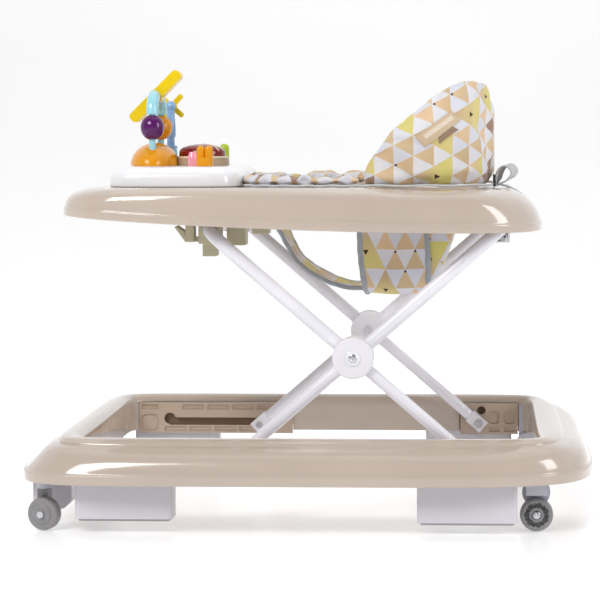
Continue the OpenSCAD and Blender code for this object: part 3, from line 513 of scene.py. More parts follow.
world = bpy.data.worlds.new("studio")
scene.world = world
world.use_nodes = True
wt = world.node_tree
sky = wt.nodes["Background"]
sky.inputs[0].default_value = (1, 1, 1, 1)
toward = wt.nodes.new("ShaderNodeTexCoord")
split = wt.nodes.new("ShaderNodeSeparateXYZ")
wt.links.new(toward.outputs["Generated"], split.inputs[0])
both_ways = wt.nodes.new("ShaderNodeMath")
both_ways.operation = "MULTIPLY"
# brightness falls with height, and is lower on the camera's side
for k, (part, steps) in enumerate(((2, (0.1, 0.7, 0.95, 0.5)), (1, (-0.55, 0.25, 0.42, 1.0)))):
    fade = wt.nodes.new("ShaderNodeMapRange")
    wt.links.new(split.outputs[part], fade.inputs[0])
    wt.links.new(fade.outputs[0], both_ways.inputs[k])
    for socket, v in enumerate(steps, 1):
        fade.inputs[socket].default_value = v
wt.links.new(both_ways.outputs[0], sky.inputs[1])

def soft_light(name, where, aim, size, power):
    lamp = bpy.data.lights.new(name, "AREA")
    lamp.shape, lamp.size, lamp.size_y, lamp.energy = "RECTANGLE", size[0], size[1], power
    ob = bpy.data.objects.new(name, lamp)
    ob.location = where
    ob.rotation_euler = (Vector(aim) - Vector(where)).to_track_quat("-Z", "Y").to_euler()
    scene.collection.objects.link(ob)

soft_light("key", (-1.4, -2.2, 2.4), (0, 0, 0.3), (1.5, 1.1), 62)
soft_light("top", (0.2, 0.6, 3.0), (0, 0.4, 0.0), (3.4, 2.8), 14)
soft_light("rim", (2.2, -1.0, 1.3), (0.1, 0, 0.3), (0.7, 1.3), 20)

# ======== moulded shells, drawn finer than their CAD nodes
def super_xy(a, b, power, t):
    """Points on a superellipse with half-sizes a and b."""
    c, s = np.cos(t), np.sin(t)
    return np.stack([a * np.sign(c) * np.abs(c) ** (2 / power), b * np.sign(s) * np.abs(s) ** (2 / power)], 1)

def even_angles(a, b, front, rear, n):
    """Superellipse angles whose points lie evenly along the outline."""
    phi = np.linspace(0, 2 * np.pi, 24001)[:-1]
    p = np.where(np.cos(phi) < 0, front, rear)
    t = np.arctan2(np.abs(np.sin(phi) / b) ** (p / 2), np.abs(np.cos(phi) / a) ** (p / 2))
    t = np.where(np.cos(phi) < 0, np.pi - t, t)
    t = np.where(np.sin(phi) < 0, -t, t) % (2 * np.pi)
    power = np.where(np.cos(t) < 0, front, rear)
    xy = super_xy(a, b, power, t)
    step = np.linalg.norm(np.roll(xy, -1, 0) - xy, axis=1)
    length = np.concatenate([[0], np.cumsum(step)])
    at = np.linspace(0, length[-1], n, endpoint=False)
    idx = np.searchsorted(length, at, side="right") - 1
    f = (at - length[idx]) / np.maximum(step[idx % len(step)], 1e-12)
    nxt = t[(idx + 1) % len(t)]
    here = t[idx % len(t)]
    nxt = np.where(nxt < here - 3, nxt + 2 * np.pi, nxt)
    return here + (nxt - here) * f

def shell(name, outer, inner, profile, mat):
    """A ring between two plan outlines; profile(i) gives [millimetres inward, height] for outline point i."""
    span = inner - outer
    w = np.linalg.norm(span, axis=1)[:, None]
    u = span / w
    P = []
    for i in range(len(outer)):
        pr = np.array(profile(i, w[i, 0]))
        P.append(np.column_stack([outer[i] + u[i] * pr[:, :1], pr[:, 1]]))
    return outward(grid_object(name, np.array(P) * MM, mat, wrap_i=True, wrap_j=True))

# base ring: straight skirt, a fine step, one long flare to the crown, and a lip round the opening
BASE_HALF, OPENING_HALF = [360.0, 300.0], [287.0, 229.0]
FRONT_POWER, REAR_POWER, OPENING_POWER = 8.2, 5.2, 20
tb = even_angles(*BASE_HALF, FRONT_POWER, REAR_POWER, 520)
base_o = super_xy(*BASE_HALF, np.where(np.cos(tb) < 0, FRONT_POWER, REAR_POWER), tb)
uv = base_o / BASE_HALF
# the opening's corners are square, so the side panels show in full
base_i = uv * OPENING_HALF / (np.abs(uv) ** OPENING_POWER).sum(1)[:, None] ** (1 / OPENING_POWER)
base_prof = chain(
    bez((1.2, 62), (0, 62), (0, 63.2), 4), bez((0, 72.6), (0, 74.2), (1.4, 74.6), 5),
    bez((1.4, 74.6), (2.6, 75), (2.9, 76.4), 5),
    bez((2.9, 76.4), (8.2, 101.5), (35.6, 106.6), 22), bez((35.6, 106.6), (36.8, 106.9), (37.2, 107.8), 4),
    bez((37.2, 107.8), (37.8, 109.2), (39.4, 109.9), 4), bez((39.4, 109.9), (47, 113.8), (56, 114), 9),
    bez((56, 114), (71, 114), (71, 101), 14), [(71, 64.2)], bez((71, 64.2), (71, 63), (69.8, 63), 4),
    [(68.2, 63.2), (68.2, 101), (63, 109), (56, 111), (40, 107), (30, 102.5), (18, 96), (10, 87), (4.5, 77),
     (3, 72), (3, 62.4)])
ring_wall = 71.0  # how far inward the profile's last wall stands, where the ring is at its nominal width
def base_profile(i, w):
    """The flare leans further inward round the front corners."""
    lean = float(np.clip((-base_o[i, 0] - 240) / 110, 0, 1))
    pts = []
    for x, z in base_prof:
        soft = math.sin(math.pi * np.clip((z - 74) / 40, 0, 1)) if x < 45 else 0
        pts.append((x / ring_wall * w + 9.0 * lean * soft, z - 2.0 * lean * soft))
    return pts
base = shell("base_ring_shell", base_o, base_i, base_profile, M["beige_shell"])
GUIDE_X, PLATE_X = (-277.3, -53.7), (187.7, 270.3)
windows = [side_block("window_cut", s, x, (214, 240), (59, 103.3))
           for s in (-1, 1) for x in (GUIDE_X, PLATE_X)]
cut(base, *windows)
put(base, "base", "beige_shell", "base_shell")
# dark plates inside the ring, behind the slots: their colour is painted shade standing for the shaded hollow
for s in (-1, 1):
    for x in ((-272, -58), (190, 268)):
        put(side_block("painted_slot_shade", s, x, (231.2, 231.8), (64, 101), M["painted_slot_shade"]), "base",
            "beige_panel")

# upper tray
TRAY_HALF, TRAY_X, SEAT_HALF, SEAT_X, SEAT_POWER = [308.0, 245.0], -11.0, [150, 145], 65.0, 3.2
TRAY_FRONT, TRAY_REAR = 6.0, 4.6  # superellipse powers
tt = even_angles(*TRAY_HALF, TRAY_FRONT, TRAY_REAR, 460)
tray_o = super_xy(*TRAY_HALF, np.where(np.cos(tt) < 0, TRAY_FRONT, TRAY_REAR), tt) + [TRAY_X, 0]
tray_h = super_xy(*SEAT_HALF, SEAT_POWER, tt) + [SEAT_X, 0]
def sstep(x):
    """Eases from 0 to 1."""
    x = np.clip(x, 0, 1)
    return x * x * (3 - 2 * x)
def tray_profile(i, w):
    """Lip, band, shoulder, flat top and the wall of the seat opening; the rear shoulder is far rounder."""
    x, y = tray_o[i]
    round_off = float(sstep((x - 205) / 75))
    lo = 367 + 19 * (max(0, 265 - x) / 545) ** 2
    hi = 420 + 3 * float(sstep((120 - x) / 60))
    hh = 420 + 3 * float(sstep((120 - tray_h[i][0]) / 60))
    lip = chain(bez((1.0, lo), (0, lo), (0, lo + 1.2), 4),
                bez((0, lo + 8.6), (0, lo + 10.2), (1.2, lo + 10.8), 5),
                bez((1.2, lo + 10.8), (2.2, lo + 11.4), (2.5, lo + 12.8), 5))
    square = np.array(chain(bez((2.5, lo + 12.8), (4.4, hi - 10.5), (15, hi - 6.2), 20),
                            bez((15, hi - 6.2), (25, hi - 1.2), (40, hi), 12)))
    soft = np.array(bez((2.5, lo + 12.8), (9, hi - 13), (52, hi), len(square)))
    body = [tuple(p) for p in square * (1 - round_off) + soft * round_off][1:]
    start = 40 + 12 * round_off
    run = w - 12 - start
    top = [(start + run * k / 5, hi + (hh - hi) * k / 5) for k in range(1, 6)]
    hole = chain([(w - 6, hh - 0.1)], bez((w - 6, hh - 0.1), (w, hh - 0.4), (w, hh - 6), 8), [(w, hh - 17.2)],
                 bez((w, hh - 17.2), (w, hh - 18), (w - 0.8, hh - 18), 3),
                 [(w - 3, hh - 17.6), (w - 3, hh - 7), (w - 6, hh - 3.4), (w - 9, hh - 3)])
    u0 = np.array([(40, hi - 3), (25, hi - 5.6), (16.5, hi - 9.8), (10.5, hi - 16), (6, lo + 20)])
    u1 = np.array([(52, hi - 3), (36, hi - 8.4), (24, hi - 15.5), (14, hi - 25), (7.5, lo + 18)])
    inside = [tuple(p) for p in u0 * (1 - round_off) + u1 * round_off]
    under = [(p[0], p[1] - 3) for p in reversed(top[:-1])] + inside
    return lip + body + top + hole + under + [(4.4, lo + 12), (3, lo + 9), (3, lo + 0.4)]
tray = shell("tray_shell", tray_o, tray_h, tray_profile, M["beige_shell"])
# a low step on each side, where the raised front shoulder runs out
co = points(tray) / MM
step_line, _ = curve_through([(40, 424), (66, 421), (86, 417.5), (102, 410), (113, 401), (118, 392)], 60)
gap = co[:, None, [0, 2]] - step_line[None]
dist = np.linalg.norm(gap, axis=2)
k = dist.argmin(1)
st = np.gradient(step_line, axis=0)
each = np.arange(len(co))
signed = dist[each, k] * np.sign(gap[each, k, 0] * st[k, 1] - gap[each, k, 1] * st[k, 0])
near = (np.abs(co[:, 1]) > 195) * (co[:, 0] < 135)
rise = sstep(0.5 - signed / 5.0) * np.exp(-np.maximum(-signed, 0) / 26.0) * near
out = np.sign(co[:, 1])
co[:, 1] += out * 1.3 * rise * (np.abs(co[:, 1]) < 243.2)
move_points(tray, co * MM)
put(tray, "tray", "beige_shell", "upper_tray")

# play panel: a low crowned tray
PANEL_X, PANEL_Z, PANEL_POWER = -177.0, 449.0, 6.0
tp = even_angles(87, 158, PANEL_POWER, PANEL_POWER, 300)
panel_prof = chain([(0.6, 423.4)], bez((0.4, 423.4), (-0.6, 424), (-0.5, 428), 4),
                   bez((-0.5, 428), (-0.2, 440), (6, 443.6), 12),
                   bez((6, 443.6), (10.5, 446.6), (16, 448.2), 6), bez((16, 448.2), (20, 449), (26, 449), 5))
rings = []
for d, z in panel_prof:
    xy = super_xy(87 - d, 158 - d, PANEL_POWER, tp) + [PANEL_X, 0]
    rings.append(np.column_stack([xy, np.full(len(xy), z)]))
for k in (0.75, 0.5, 0.25, 0.02):
    xy = super_xy(61 * k, 132 * k, PANEL_POWER - 4.0 * (1 - k), tp) + [PANEL_X, 0]
    rings.append(np.column_stack([xy, np.full(len(xy), PANEL_Z)]))
panel = outward(grid_object("play_panel", np.array(rings) * MM, M["white_shell"], wrap_j=True, caps=True))
put(panel, "tray", "white_shell", "toy_tray")

# ======== soft goods
def inflate(ob, pins, pressure=4.0, cap=0.008, frames=20, grow=0.03, stiff=12.0):
    """Cloth under pressure, held at its seams; no point moves further than cap. The result is made real."""
    group = ob.vertex_groups.new(name="seams")
    for w in sorted(set(np.round(pins, 3))):
        if w > 0:
            group.add([int(k) for k in np.nonzero(np.round(pins, 3) == w)[0]], float(w), "REPLACE")
    mod = ob.modifiers.new("cloth", "CLOTH")
    st = mod.settings
    st.quality, st.mass, st.time_scale = 6, 0.3, 1.0
    st.tension_stiffness = st.compression_stiffness = stiff
    st.shear_stiffness, st.bending_stiffness = 5.0, 0.4
    st.use_pressure, st.uniform_pressure_force = True, pressure
    st.vertex_group_mass = "seams"
    st.shrink_min = -grow
    st.effector_weights.gravity = 0
    mod.collision_settings.use_collision = False
    mod.point_cache.frame_start, mod.point_cache.frame_end = 1, frames
    start = points(ob)
    for f in range(1, frames + 1):
        scene.frame_set(f)
    dg = bpy.context.evaluated_depsgraph_get()
    ev = ob.evaluated_get(dg).data
    end = np.zeros(len(ev.vertices) * 3)
    ev.vertices.foreach_get("co", end)
    end = end.reshape(-1, 3)
    move = end - start
    far = np.linalg.norm(move, axis=1)[:, None]
    end = start + move * np.minimum(1, cap / np.maximum(far, 1e-9))
    ob.modifiers.clear()
    ob.vertex_groups.clear()
    move_points(ob, end)
    scene.frame_set(1)
    return ob

def refine(ob, levels=1):
    m = ob.modifiers.new("fine", "SUBSURF")
    m.levels = m.render_levels = levels
    m.uv_smooth = "PRESERVE_BOUNDARIES"
    return applied(ob)

def ripple(co, scale, seed, octaves=2):
    """Smooth repeatable noise at points co, about -1 to 1."""
    r = np.random.default_rng(seed)
    out = np.zeros(len(co))
    for k in range(octaves):
        for _ in range(5):
            d = r.normal(size=3)
            d /= np.linalg.norm(d)
            wave = co @ d * 2 * np.pi / scale * (1.9 ** k) * r.uniform(0.7, 1.3)
            out += np.sin(wave + r.uniform(0, 6.3)) / (5 * 1.7 ** k)
    return out

# ---- wrap-round back pad
def horseshoe_path(half, rear, r, x0, step):
    """Plan points round the rear of the seat opening, the distance along them, and the outward directions."""
    a = rear - r
    pts = [(x, -half) for x in np.arange(x0, a, step)]
    pts += [(a + r * math.sin(t), -(half - r) - r * math.cos(t)) for t in np.arange(0, math.pi / 2, step / r)]
    pts += [(rear, y) for y in np.arange(-(half - r), 0.001, step)]
    pts = np.array(pts)
    left = pts[pts[:, 1] < -0.5 * step]
    full = np.vstack([left, [[rear, 0.0]], left[::-1] * [1, -1]])
    tan = tangents(full)
    return full, lengths(full), np.stack([tan[:, 1], -tan[:, 0]], 1)

# the pad's top edge, [x, z], from its front end to the rear
CREST = np.array([(66, 446), (70, 452), (76, 462), (84, 474), (104, 496), (130, 517.5), (160, 537),
                  (184, 550.5), (198, 555), (212, 556), (222, 554.5), (240, 553)])
path, along, out_n = horseshoe_path(146.5, 227.0, 91.5, 69.5, 5.2)
PAD_THICK, PAD_FOOT = 17.0, 426.0
half_n = 20
# the pad's section, [share of the thickness, share of the height]: up the outside, over, down the inside
outside = [(0.0, k / half_n) for k in range(half_n + 1)]
inside = [(-1.0, b) for _, b in outside[::-1]]
sec = np.array(outside + [(-0.18, 1.045), (-0.5, 1.065), (-0.82, 1.045)] + inside + [(-0.5, -0.01)])
nst = len(path)
P, U, V = [], [], []
end_fade = np.minimum(1, np.minimum(along, along[-1] - along) / 12.0)
thick = PAD_THICK * (0.35 + 0.65 * np.sqrt(np.clip(end_fade * (2 - end_fade), 0, 1)))
for i in range(nst):
    top = np.interp(path[i, 0], CREST[:, 0], CREST[:, 1]) - 6
    row = []
    for a, b in sec:
        off = -PAD_THICK / 2 + (a + 0.5) * thick[i]
        round_edge = 3.6 * (abs(2 * np.clip(b, 0, 1) - 1) ** 6) * (1 if a == 0 else -1 if a == -1 else 0)
        q = path[i] + out_n[i] * (off - round_edge * end_fade[i])
        row.append((q[0], q[1], PAD_FOOT + (top - PAD_FOOT) * b))
    P.append(row)
P = np.array(P) * MM
seclen = np.linalg.norm(np.diff(np.concatenate([P, P[:, :1]], 1), axis=1), axis=2)
V = np.concatenate([np.zeros((nst, 1)), np.cumsum(seclen, 1)], 1) + 0.011
for i in range(nst):  # print heights run on over the crest and down the inner face
    V[i, :half_n + 1] = P[i, :half_n + 1, 2] - 0.4123
    V[i, half_n + 1:] = V[i, half_n] + np.cumsum(seclen[i, half_n:])[:len(V[i]) - half_n - 1]
U = np.repeat((along * MM - 0.0113)[:, None], P.shape[1] + 1, 1)
pad = outward(grid_object("backrest_cushion", P, M["seat_fabric"], wrap_j=True, U=U, V=V, caps=True))
ns = P.shape[1]
pins = np.zeros((nst, ns))
pins[:, half_n + 2] = 1.0
pins[:, -1] = 1.0
pins[:, [0, 1, 2 * half_n + 3, 2 * half_n + 4]] = 0.35
pins[[0, 1, nst - 2, nst - 1]] = 1.0
# corner seams on the outside, side seams on the inside
for seam, held in ((198.0, slice(0, half_n + 3)), (150.0, slice(half_n + 3, None))):
    for a in (seam, along[-1] - seam):
        pins[int(np.argmin(np.abs(along - a))), held] = 1.0
inflate(pad, pins.ravel(), 4.0, 0.0075, 20, 0.045)
refine(pad)
co = points(pad)
nor = np.array([v.normal for v in pad.data.vertices])
near_foot = np.exp(-((co[:, 2] - 0.437) / 0.010) ** 2)
fold = 0.0034 * near_foot * np.clip(ripple(co * [1, 1, 2.5], 0.075, 3) + 0.35, 0, 1)
low_down = 0.35 + 0.65 * np.clip(1 - (co[:, 2] - 0.43) / 0.05, 0, 1)
wrinkle = 0.0011 * ripple(co * [1, 1, 0.45], 0.022, 5) * low_down
slack = 0.0011 * ripple(co, 0.085, 8)
co += nor * (fold + wrinkle + slack)[:, None]
co[:, 2] = np.maximum(co[:, 2], 0.4234)
move_points(pad, co)
put(pad, "tray", "seat_fabric", "backrest_pad")

# ---- gathered hem round the front of the seat opening
def ring_path(a, b, power, cx, n, x_max):
    """The stretch of a superellipse in front of x_max, as n even points, with the distance along it."""
    t = even_angles(a, b, power, power, 2400)
    xy = super_xy(a, b, power, t) + [cx, 0]
    keep = xy[:, 0] <= x_max
    run = np.nonzero(keep & ~np.roll(keep, 1))[0][0]
    xy = np.roll(xy, -run, 0)[:int(keep.sum())]
    return evenly(xy, n)

hp, hs = ring_path(161, 156, SEAT_POWER, SEAT_X, 150, 62.0)
ht = tangents(hp)
hn = np.stack([ht[:, 1], -ht[:, 0]], 1)
if np.sum(hn * (hp - [SEAT_X, 0])) < 0:
    hn = -hn
ang = np.linspace(0, 2 * np.pi, 16, endpoint=False)
def panel_inset(x, y):
    """How far inside the play panel's outline a point is, in mm; negative when outside."""
    q = (abs((x - PANEL_X) / 88.5) ** 6 + abs(y / 159.5) ** 6) ** (1 / 6)
    return (1 - q) * 88.5
P = []
for i in range(len(hp)):
    gather = 1.0 + 0.10 * math.sin(hs[i] / 9.0) + 0.08 * math.sin(hs[i] / 4.1 + 1.0)
    gather += 0.14 * math.sin(hs[i] / 31.0 + 0.6)
    fade = min(1.0, min(i, len(hp) - 1 - i) / 5 + 0.3)
    row = []
    for a in ang:
        r, z = 10.2 * math.cos(a) * (0.92 + 0.08 * gather), 431.3 + 6.6 * math.sin(a) * gather * fade
        q = hp[i] + hn[i] * r
        deep = panel_inset(q[0], q[1])
        if deep > 0:
            q = q + np.array([deep, 0.0])
        row.append((q[0], q[1], z))
    P.append(row)
P = np.array(P) * MM
U = np.repeat((hs * MM)[:, None], 17, 1)
V = np.repeat((np.arange(17) / 16 * 0.058)[None], len(hp), 0)
hem = outward(grid_object("seat_hem_roll", P, M["seat_fabric"], wrap_j=True, U=V + 0.004, V=U, caps=True))
pins = np.zeros(P.shape[:2])
pins[:, 12] = 1.0
pins[:, [11, 13]] = 0.5
pins[[0, -1]] = 1.0
front_part = np.array([panel_inset(*(hp[i] + hn[i] * 10)) > -6 for i in range(len(hp))])
pins[front_part] = 1.0
inflate(hem, pins.ravel(), 3.0, 0.0035, 16, 0.05)
refine(hem)
co = points(hem)
nor = np.array([v.normal for v in hem.data.vertices])
amp = np.clip((co[:, 0] + 0.075) / 0.02, 0, 1)
co += nor * (amp * (0.0011 * ripple(co, 0.018, 21) + 0.0014 * ripple(co, 0.05, 22)))[:, None]
co[:, 2] = np.clip(co[:, 2], 0.4236, 0.4455)
move_points(hem, co)
put(hem, "tray", "seat_fabric", "seat_hem")

# ---- hanging seat: a bag of hip panels and bottom, a back panel and a crotch strap
def slab(name, C, thick, mat, U, V):
    """A thin padded panel about the surface C[i, j] in mm, with rounded rims."""
    ob = grid_object(name, np.array(C) * MM, mat, U=np.array(U), V=np.array(V))
    return thickened(ob, thick, thick * 0.3, angle=math.radians(50))

# the bag's section across the walker, [y, z]
bag_path = [(-131.5, 409), (-131.5, 392), (-131.8, 360), (-132.2, 335), (-131.5, 312), (-128, 297),
            (-117, 288.2), (-95, 286.4), (-50, 286.0), (0, 286.0)]
bag_path = bag_path + [(-y, z) for y, z in bag_path[-2::-1]]
bp, bs = curve_through(bag_path, 96)
xs = np.linspace(0, 1, 22)
C, U, V = [], [], []
for i, (y, z) in enumerate(bp):
    low = np.clip((398 - z) / 112, 0, 1)
    x0 = 64.5 + 6.0 * low ** 2 - 3.0 * math.sin(math.pi * low)
    x1 = 145.0 + 5.0 * low
    side = 0.0 if abs(y) < 110 else math.copysign(1, y)
    row = []
    for k, f in enumerate(xs):
        belly = math.sin(math.pi * f)
        hang = math.sin(math.pi * min(1, low * 0.98))
        yy = y + side * (2.6 * belly * hang + 0.9 * math.sin(7 * f + low * 5) * hang)
        zz = z + (-1.2 * belly if abs(y) < 118 else 0) + 0.5 * math.sin(9 * f + y / 21)
        row.append((x0 + (x1 - x0) * f, yy, zz))
    C.append(row)
    U.append([bs[i] * MM + 0.0095] * len(xs))
    V.append([p[0] * MM + 0.006 for p in row])
bag = slab("seat_bag", C, 3.4, M["seat_fabric"], U, V)
put(bag, "tray", "seat_fabric", "seat_sling")

def edge_tape(name, pts, wide, n=80):
    """A binding tape folded over an edge that runs through pts."""
    q, _ = curve_through(pts, n)
    q = q + np.stack([0.25 * np.sin(np.arange(n) * 0.9), 0.2 * np.sin(np.arange(n) * 0.7 + 1),
                      0.25 * np.sin(np.arange(n) * 0.55)], 1)
    put(tube(name, q * MM, wide * MM, M["binding"], flat=0.62, up=(0, 1, 0)), "tray", "webbing")

C = np.array(C)
for hand, part in (("left", slice(0, 40)), ("right", slice(56, 96))):
    edge_tape("binding_front_" + hand, C[part, 0][::3], 4.4)
    edge_tape("binding_rear_" + hand, C[part, -1][::3], 4.4)

# back panel: rises behind the bag, leaning to the rear
def back_x(f):
    """Where the back panel stands at the share f of its height."""
    return 153.5 + 39.5 * f + 3.0 * math.sin(math.pi * f)
BACK_FOOT, BACK_HIGH, BACK_HALF = 289, 117, 123
C, U, V = [], [], []
for f in [k / 25 for k in range(26)]:
    z = BACK_FOOT + BACK_HIGH * f
    ws = [y * (0.98 + 0.04 * f) for y in np.linspace(-BACK_HALF, BACK_HALF, 40)]
    C.append([(back_x(f) - 3.5 * (abs(w) / BACK_HALF) ** 6 * (1 - f) + 1.2 * math.sin(w / 17 + 3 * f), w, z)
              for w in ws])
    U.append([z * MM * 1.06] * len(ws))
    V.append([(w + 130) * MM for w in ws])
back = slab("seat_back_panel", C, 3.4, M["seat_fabric"], U, V)
put(back, "tray", "seat_fabric")

# crotch strap: from the bag's front edge up to the front of the opening, a little slack
strap_mid = [(66, 287.6), (52, 287.6), (38, 288.6), (16, 296.0), (-10, 311), (-30, 329.5), (-46, 360),
             (-62, 386), (-70, 402)]
sp, ss = curve_through(strap_mid, 64)
st_t = tangents(sp)
C, U, V = [], [], []
for i in range(len(sp)):
    f = i / (len(sp) - 1)
    sag = math.sin(math.pi * f)
    half = 57.5 - 5.0 * sag + 1.5 * math.sin(f * 9)
    row = []
    for y in np.linspace(-1, 1, 30):
        dip = 3.2 * (1 - y * y) * sag - 1.6 * math.sin(y * 5.5 + f * 8) * sag
        row.append((sp[i, 0] + st_t[i, 1] * dip * 0.6, y * half, sp[i, 1] - abs(st_t[i, 0]) * dip))
    C.append(row)
    U.append([ss[i] * MM + 0.004] * 30)
    V.append([(p[1] + 60) * MM for p in row])
crotch = slab("crotch_strap", C, 3.2, M["seat_fabric"], U, V)
put(crotch, "tray", "seat_fabric")
C = np.array(C)
for hand, edge in (("left", C[:, 0]), ("right", C[:, -1])):
    edge_tape("crotch_binding_" + hand, np.vstack([edge[::5], edge[-1:]]), 2.9)

# piping at the foot of the hem and the back pad
pp, _ = ring_path(174.5, 169.5, SEAT_POWER, SEAT_X, 160, 76.0)
pp = np.array([q for q in pp if panel_inset(q[0], q[1]) < -3.2])
for hand, part in (("left", pp[:, 1] < 0), ("right", pp[:, 1] > 0)):
    q = pp[part]
    q = q[np.argsort(q[:, 0])]
    line = np.column_stack([q, np.full(len(q), 424.6) + 0.4 * np.sin(np.arange(len(q)) * 0.8)])
    put(tube("hem_piping_" + hand, line * MM, 1.5 * MM, M["piping"], sides=12), "tray", "webbing")
fp, _, _ = horseshoe_path(151.2, 232.5, 96, 68.0, 4.0)
line = np.column_stack([fp, 424.4 + 0.5 * np.sin(np.arange(len(fp)) * 0.37)])
put(tube("pad_piping", line * MM, 1.5 * MM, M["piping"], sides=12), "tray", "webbing")

# side gussets between the bag and the back panel
for hand, side in (("left", -1), ("right", 1)):
    C, U, V = [], [], []
    for k in range(24):
        z = 297 + 109 * k / 23
        reach = back_x((z - BACK_FOOT) / BACK_HIGH) - 147.0
        row = []
        for t in np.linspace(0, 1, 10):
            y = side * (129.0 - 4.5 * t + 1.6 * math.sin(math.pi * t) + 0.6 * math.sin(5 * t + z / 14))
            row.append((147.0 + reach * t, y, z))
        C.append(row)
        U.append([z * MM] * 10)
        V.append([p[0] * MM for p in row])
    gus = slab("seat_gusset_" + hand, C, 2.6, M["seat_fabric"], U, V)
    put(gus, "tray", "seat_fabric")

# ---- label patch sewn on the near side of the back pad
bpy.context.view_layer.update()
pad_tree = BVHTree.FromObject(pad, bpy.context.evaluated_depsgraph_get())
def patch(name, corners, mat, lift, thick, n=16, m=8):
    """A sewn patch: a quad given by four [x, z] corners in mm, laid on the near side of the pad."""
    a, b, c, d = (np.array(p, float) for p in corners)
    P = []
    for f in np.linspace(0, 1, n):
        row = []
        for g in np.linspace(0, 1, m):
            x, z = ((a * (1 - f) + b * f) * (1 - g) + (d * (1 - f) + c * f) * g) * MM
            hit, out_of_pad, _, _ = pad_tree.ray_cast(Vector((x, -0.3, z)), Vector((0, 1, 0)))
            if out_of_pad.y > 0:
                out_of_pad = -out_of_pad
            row.append(tuple(hit + out_of_pad * lift * MM))
        P.append(row)
    P = np.array(P)
    U = np.repeat(np.linspace(0, 0.05, n)[:, None], m, 1)
    V = np.repeat(np.linspace(0, 0.017, m)[None], n, 0)
    return thickened(grid_object(name, P, mat, U=U, V=V), thick, 0.2, segments=1), P
lab, lab_p = patch("label_weave", [(133, 486), (179.5, 519.5), (190.5, 507.5), (146, 473)], M["label_tan"],
                   0.9, 1.0)
put(lab, "tray", "label_tan", "label_patch")
bar, _ = patch("label_bar", [(143, 488), (178, 513.2), (182, 508.6), (147, 483)], M["label_pale"], 1.5, 0.5)
put(bar, "tray", "label_tan")
tag, _ = patch("label_tag", [(163.5, 485.5), (180.5, 499.6), (187.5, 495.5), (163.5, 477.5)],
               M["label_brown"], 1.1, 0.9)
put(tag, "tray", "label_tan")
rim = np.concatenate([lab_p[:, 0], lab_p[-1, 1:], lab_p[::-1, -1][1:], lab_p[0, ::-1][1:-1]])
ctr = rim.mean(0)
rim = ctr + (rim - ctr) * 0.94 + [0, -0.0006, 0]
for k in range(0, len(rim) - 1, 2):
    thread = [rim[k], (rim[k] + rim[k + 1]) / 2 - [0, 0.0002, 0], rim[k + 1]]
    put(tube("label_stitch_%02d" % k, thread, 0.00035, M["stitch"], sides=6), "tray", "webbing")

# ---- webbing loop, slide buckle and tab behind the pad
loop_path = [(237.0, 424.2), (239.0, 429.5), (240.5, 436), (243.5, 443), (248.5, 448.4), (254.5, 448.6),
             (259.4, 444), (260.4, 438.4),
             (255.5, 431.8), (247.5, 427.0), (241.0, 424.6), (237.4, 421.9)]
def tape(name, P, along, wide, thick, edge):
    """A stretch of webbing through the points P in mm; along is the distance to each row, wide the width."""
    n, m = P.shape[:2]
    U, V = np.repeat((along * MM)[:, None], m, 1), np.repeat(np.linspace(0, wide * MM, m)[None], n, 0)
    return thickened(grid_object(name, P * MM, M["webbing"], U=U, V=V), thick, edge)
lp, ls = curve_through(loop_path, 72)
ltan = tangents(lp)
P = []
for i, (x, z) in enumerate(lp):
    row = []
    for k, y in enumerate(np.linspace(-59.5, -35.5, 12)):
        cup = 0.5 * math.cos(math.pi * k / 11) + 0.25 * math.sin(i * 0.35 + k * 0.4)
        lean = (k / 11 - 0.5) * min(1.0, max(0.0, (z - 424) / 8))
        row.append((x - ltan[i, 1] * cup * 0.5 + 10.0 * lean, y + 0.5 * math.sin(i * 0.21),
                    z + ltan[i, 0] * cup * 0.5 + 3.0 * lean))
    P.append(row)
put(tape("webbing_loop", np.array(P), ls, 24, 1.7, 0.45), "tray", "webbing", "strap_loop")
tail_path = [(238, 424.0), (246, 423.0), (254, 420.6), (262, 416.6), (268, 412.6), (273, 408.4)]
tp, ts = curve_through(tail_path, 40)
P = np.array([[(x, y, z + 0.3 * math.sin(i * 0.4 + j)) for j, y in enumerate(np.linspace(-61.5, -33.5, 10))]
              for i, (x, z) in enumerate(tp)])
put(tape("webbing_tail", P, ts, 28, 1.8, 0.5), "tray", "webbing", "strap_tab")
for k, z in enumerate((422.6, 429.0, 435.4)):
    line = np.array([(236.6, y, z) for y in np.linspace(-63.2, -31.8, 9)]) * MM
    put(tube("buckle_bar_%d" % k, line, 0.0012, M["screw_chrome"], sides=12), "tray", "screw_chrome")

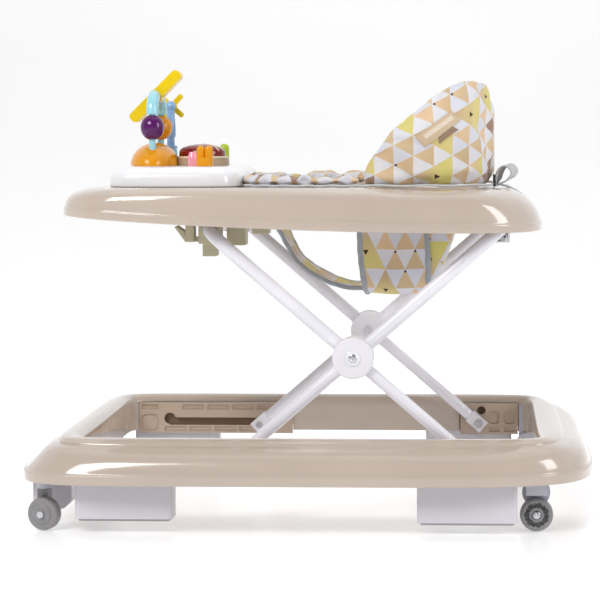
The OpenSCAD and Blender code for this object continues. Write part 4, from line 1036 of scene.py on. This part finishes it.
# ---- cross-head screws
def cross_head(name, at, axis, r, high, body):
    """A domed screw head with a cross recess; lengths are in metres here and below."""
    prof = [(r, -0.3 * high), (r, 0.25 * high), (0.94 * r, 0.48 * high), (0.78 * r, 0.74 * high),
            (0.5 * r, 0.93 * high), (0.2 * r, high), (0.0001 * r, high)]
    head = lathe(name, prof, M["screw_chrome"], at=at, axis=axis, sides=40)
    turn = Vector((0, 0, 1)).rotation_difference(Vector(axis)).to_matrix().to_4x4()
    arms = []
    for k in (0, 1):
        arm = block("arm", (-0.62 * r, -0.13 * r, 0.3 * high), (0.62 * r, 0.13 * r, 2 * high))
        spin = Matrix.Rotation(0.35 + k * math.pi / 2, 4, "Z")
        arm.data.transform(Matrix.Translation(Vector(at)) @ turn @ spin)
        arms.append(arm)
    cut(head, *arms)
    head.data.materials.clear()
    head.data.materials.append(M["screw_chrome"])
    put(head, body, "screw_chrome")
HUB_X, HUB_Z, AXLE_X, AXLE_Z = 0.0575, 0.2115, 0.285, 0.0205
washer = [(0.0062, 0), (0.0092, 0), (0.0096, 0.0004), (0.0092, 0.0009), (0.0064, 0.0009)]
for s, hand in ((-1, "left"), (1, "right")):
    axis = (0, s, 0)
    cross_head("hub_head_" + hand, (HUB_X, s * 0.2262, HUB_Z), axis, 0.0056, 0.0016, "outer_frame")
    cross_head("axle_head_" + hand, (AXLE_X, s * 0.2460, AXLE_Z), axis, 0.0047, 0.0014, "base")
    put(lathe("hub_washer_" + hand, washer, M["frame_paint"], at=(HUB_X, s * 0.2256, HUB_Z), axis=axis),
        "outer_frame", "frame_paint")

# ---- seven dimples on the outer face of each rear wheel, drawn as shallow discs whose dark colour is painted shade
pocket = [(0.0001, 0.00012), (0.0024, 0.00012), (0.0031, 0.0004), (0.0035, 0.0001)]
for s, hand in ((-1, "left"), (1, "right")):
    for k in range(7):
        a = k * 2 * math.pi / 7 + 0.4
        at = (AXLE_X + 0.0122 * math.cos(a), s * 0.24495, AXLE_Z + 0.0122 * math.sin(a))
        put(lathe("pocket_%s_%d" % (hand, k), pocket, M["pocket_painted_shade"], at=at, axis=(0, s, 0), sides=24),
            "rear_wheel_" + hand, "wheel_grey")

# ---- drum stripes, laid over its lens
DRUM_X = -156
drum_tree = BVHTree.FromObject(CAD["drum_button"], bpy.context.evaluated_depsgraph_get())
for k, (deg, wide) in enumerate(((-38, 1.1), (-18, 0.8))):
    a = math.radians(deg)
    line = []
    for r in np.linspace(1.0, 30.6, 40):
        above_lens = Vector(((DRUM_X + r * math.cos(a)) * MM, r * math.sin(a) * MM, 0.6))
        hit = drum_tree.ray_cast(above_lens, Vector((0, 0, -1)))[0]
        if hit is not None and hit.z > 0.4585:
            line.append(tuple(hit))
    if len(line) > 4:
        put(tube("drum_stripe_%d" % k, line, wide * MM, M["drum_cream"], sides=10, flat=0.5),
            "drum_button", "drum_cream")
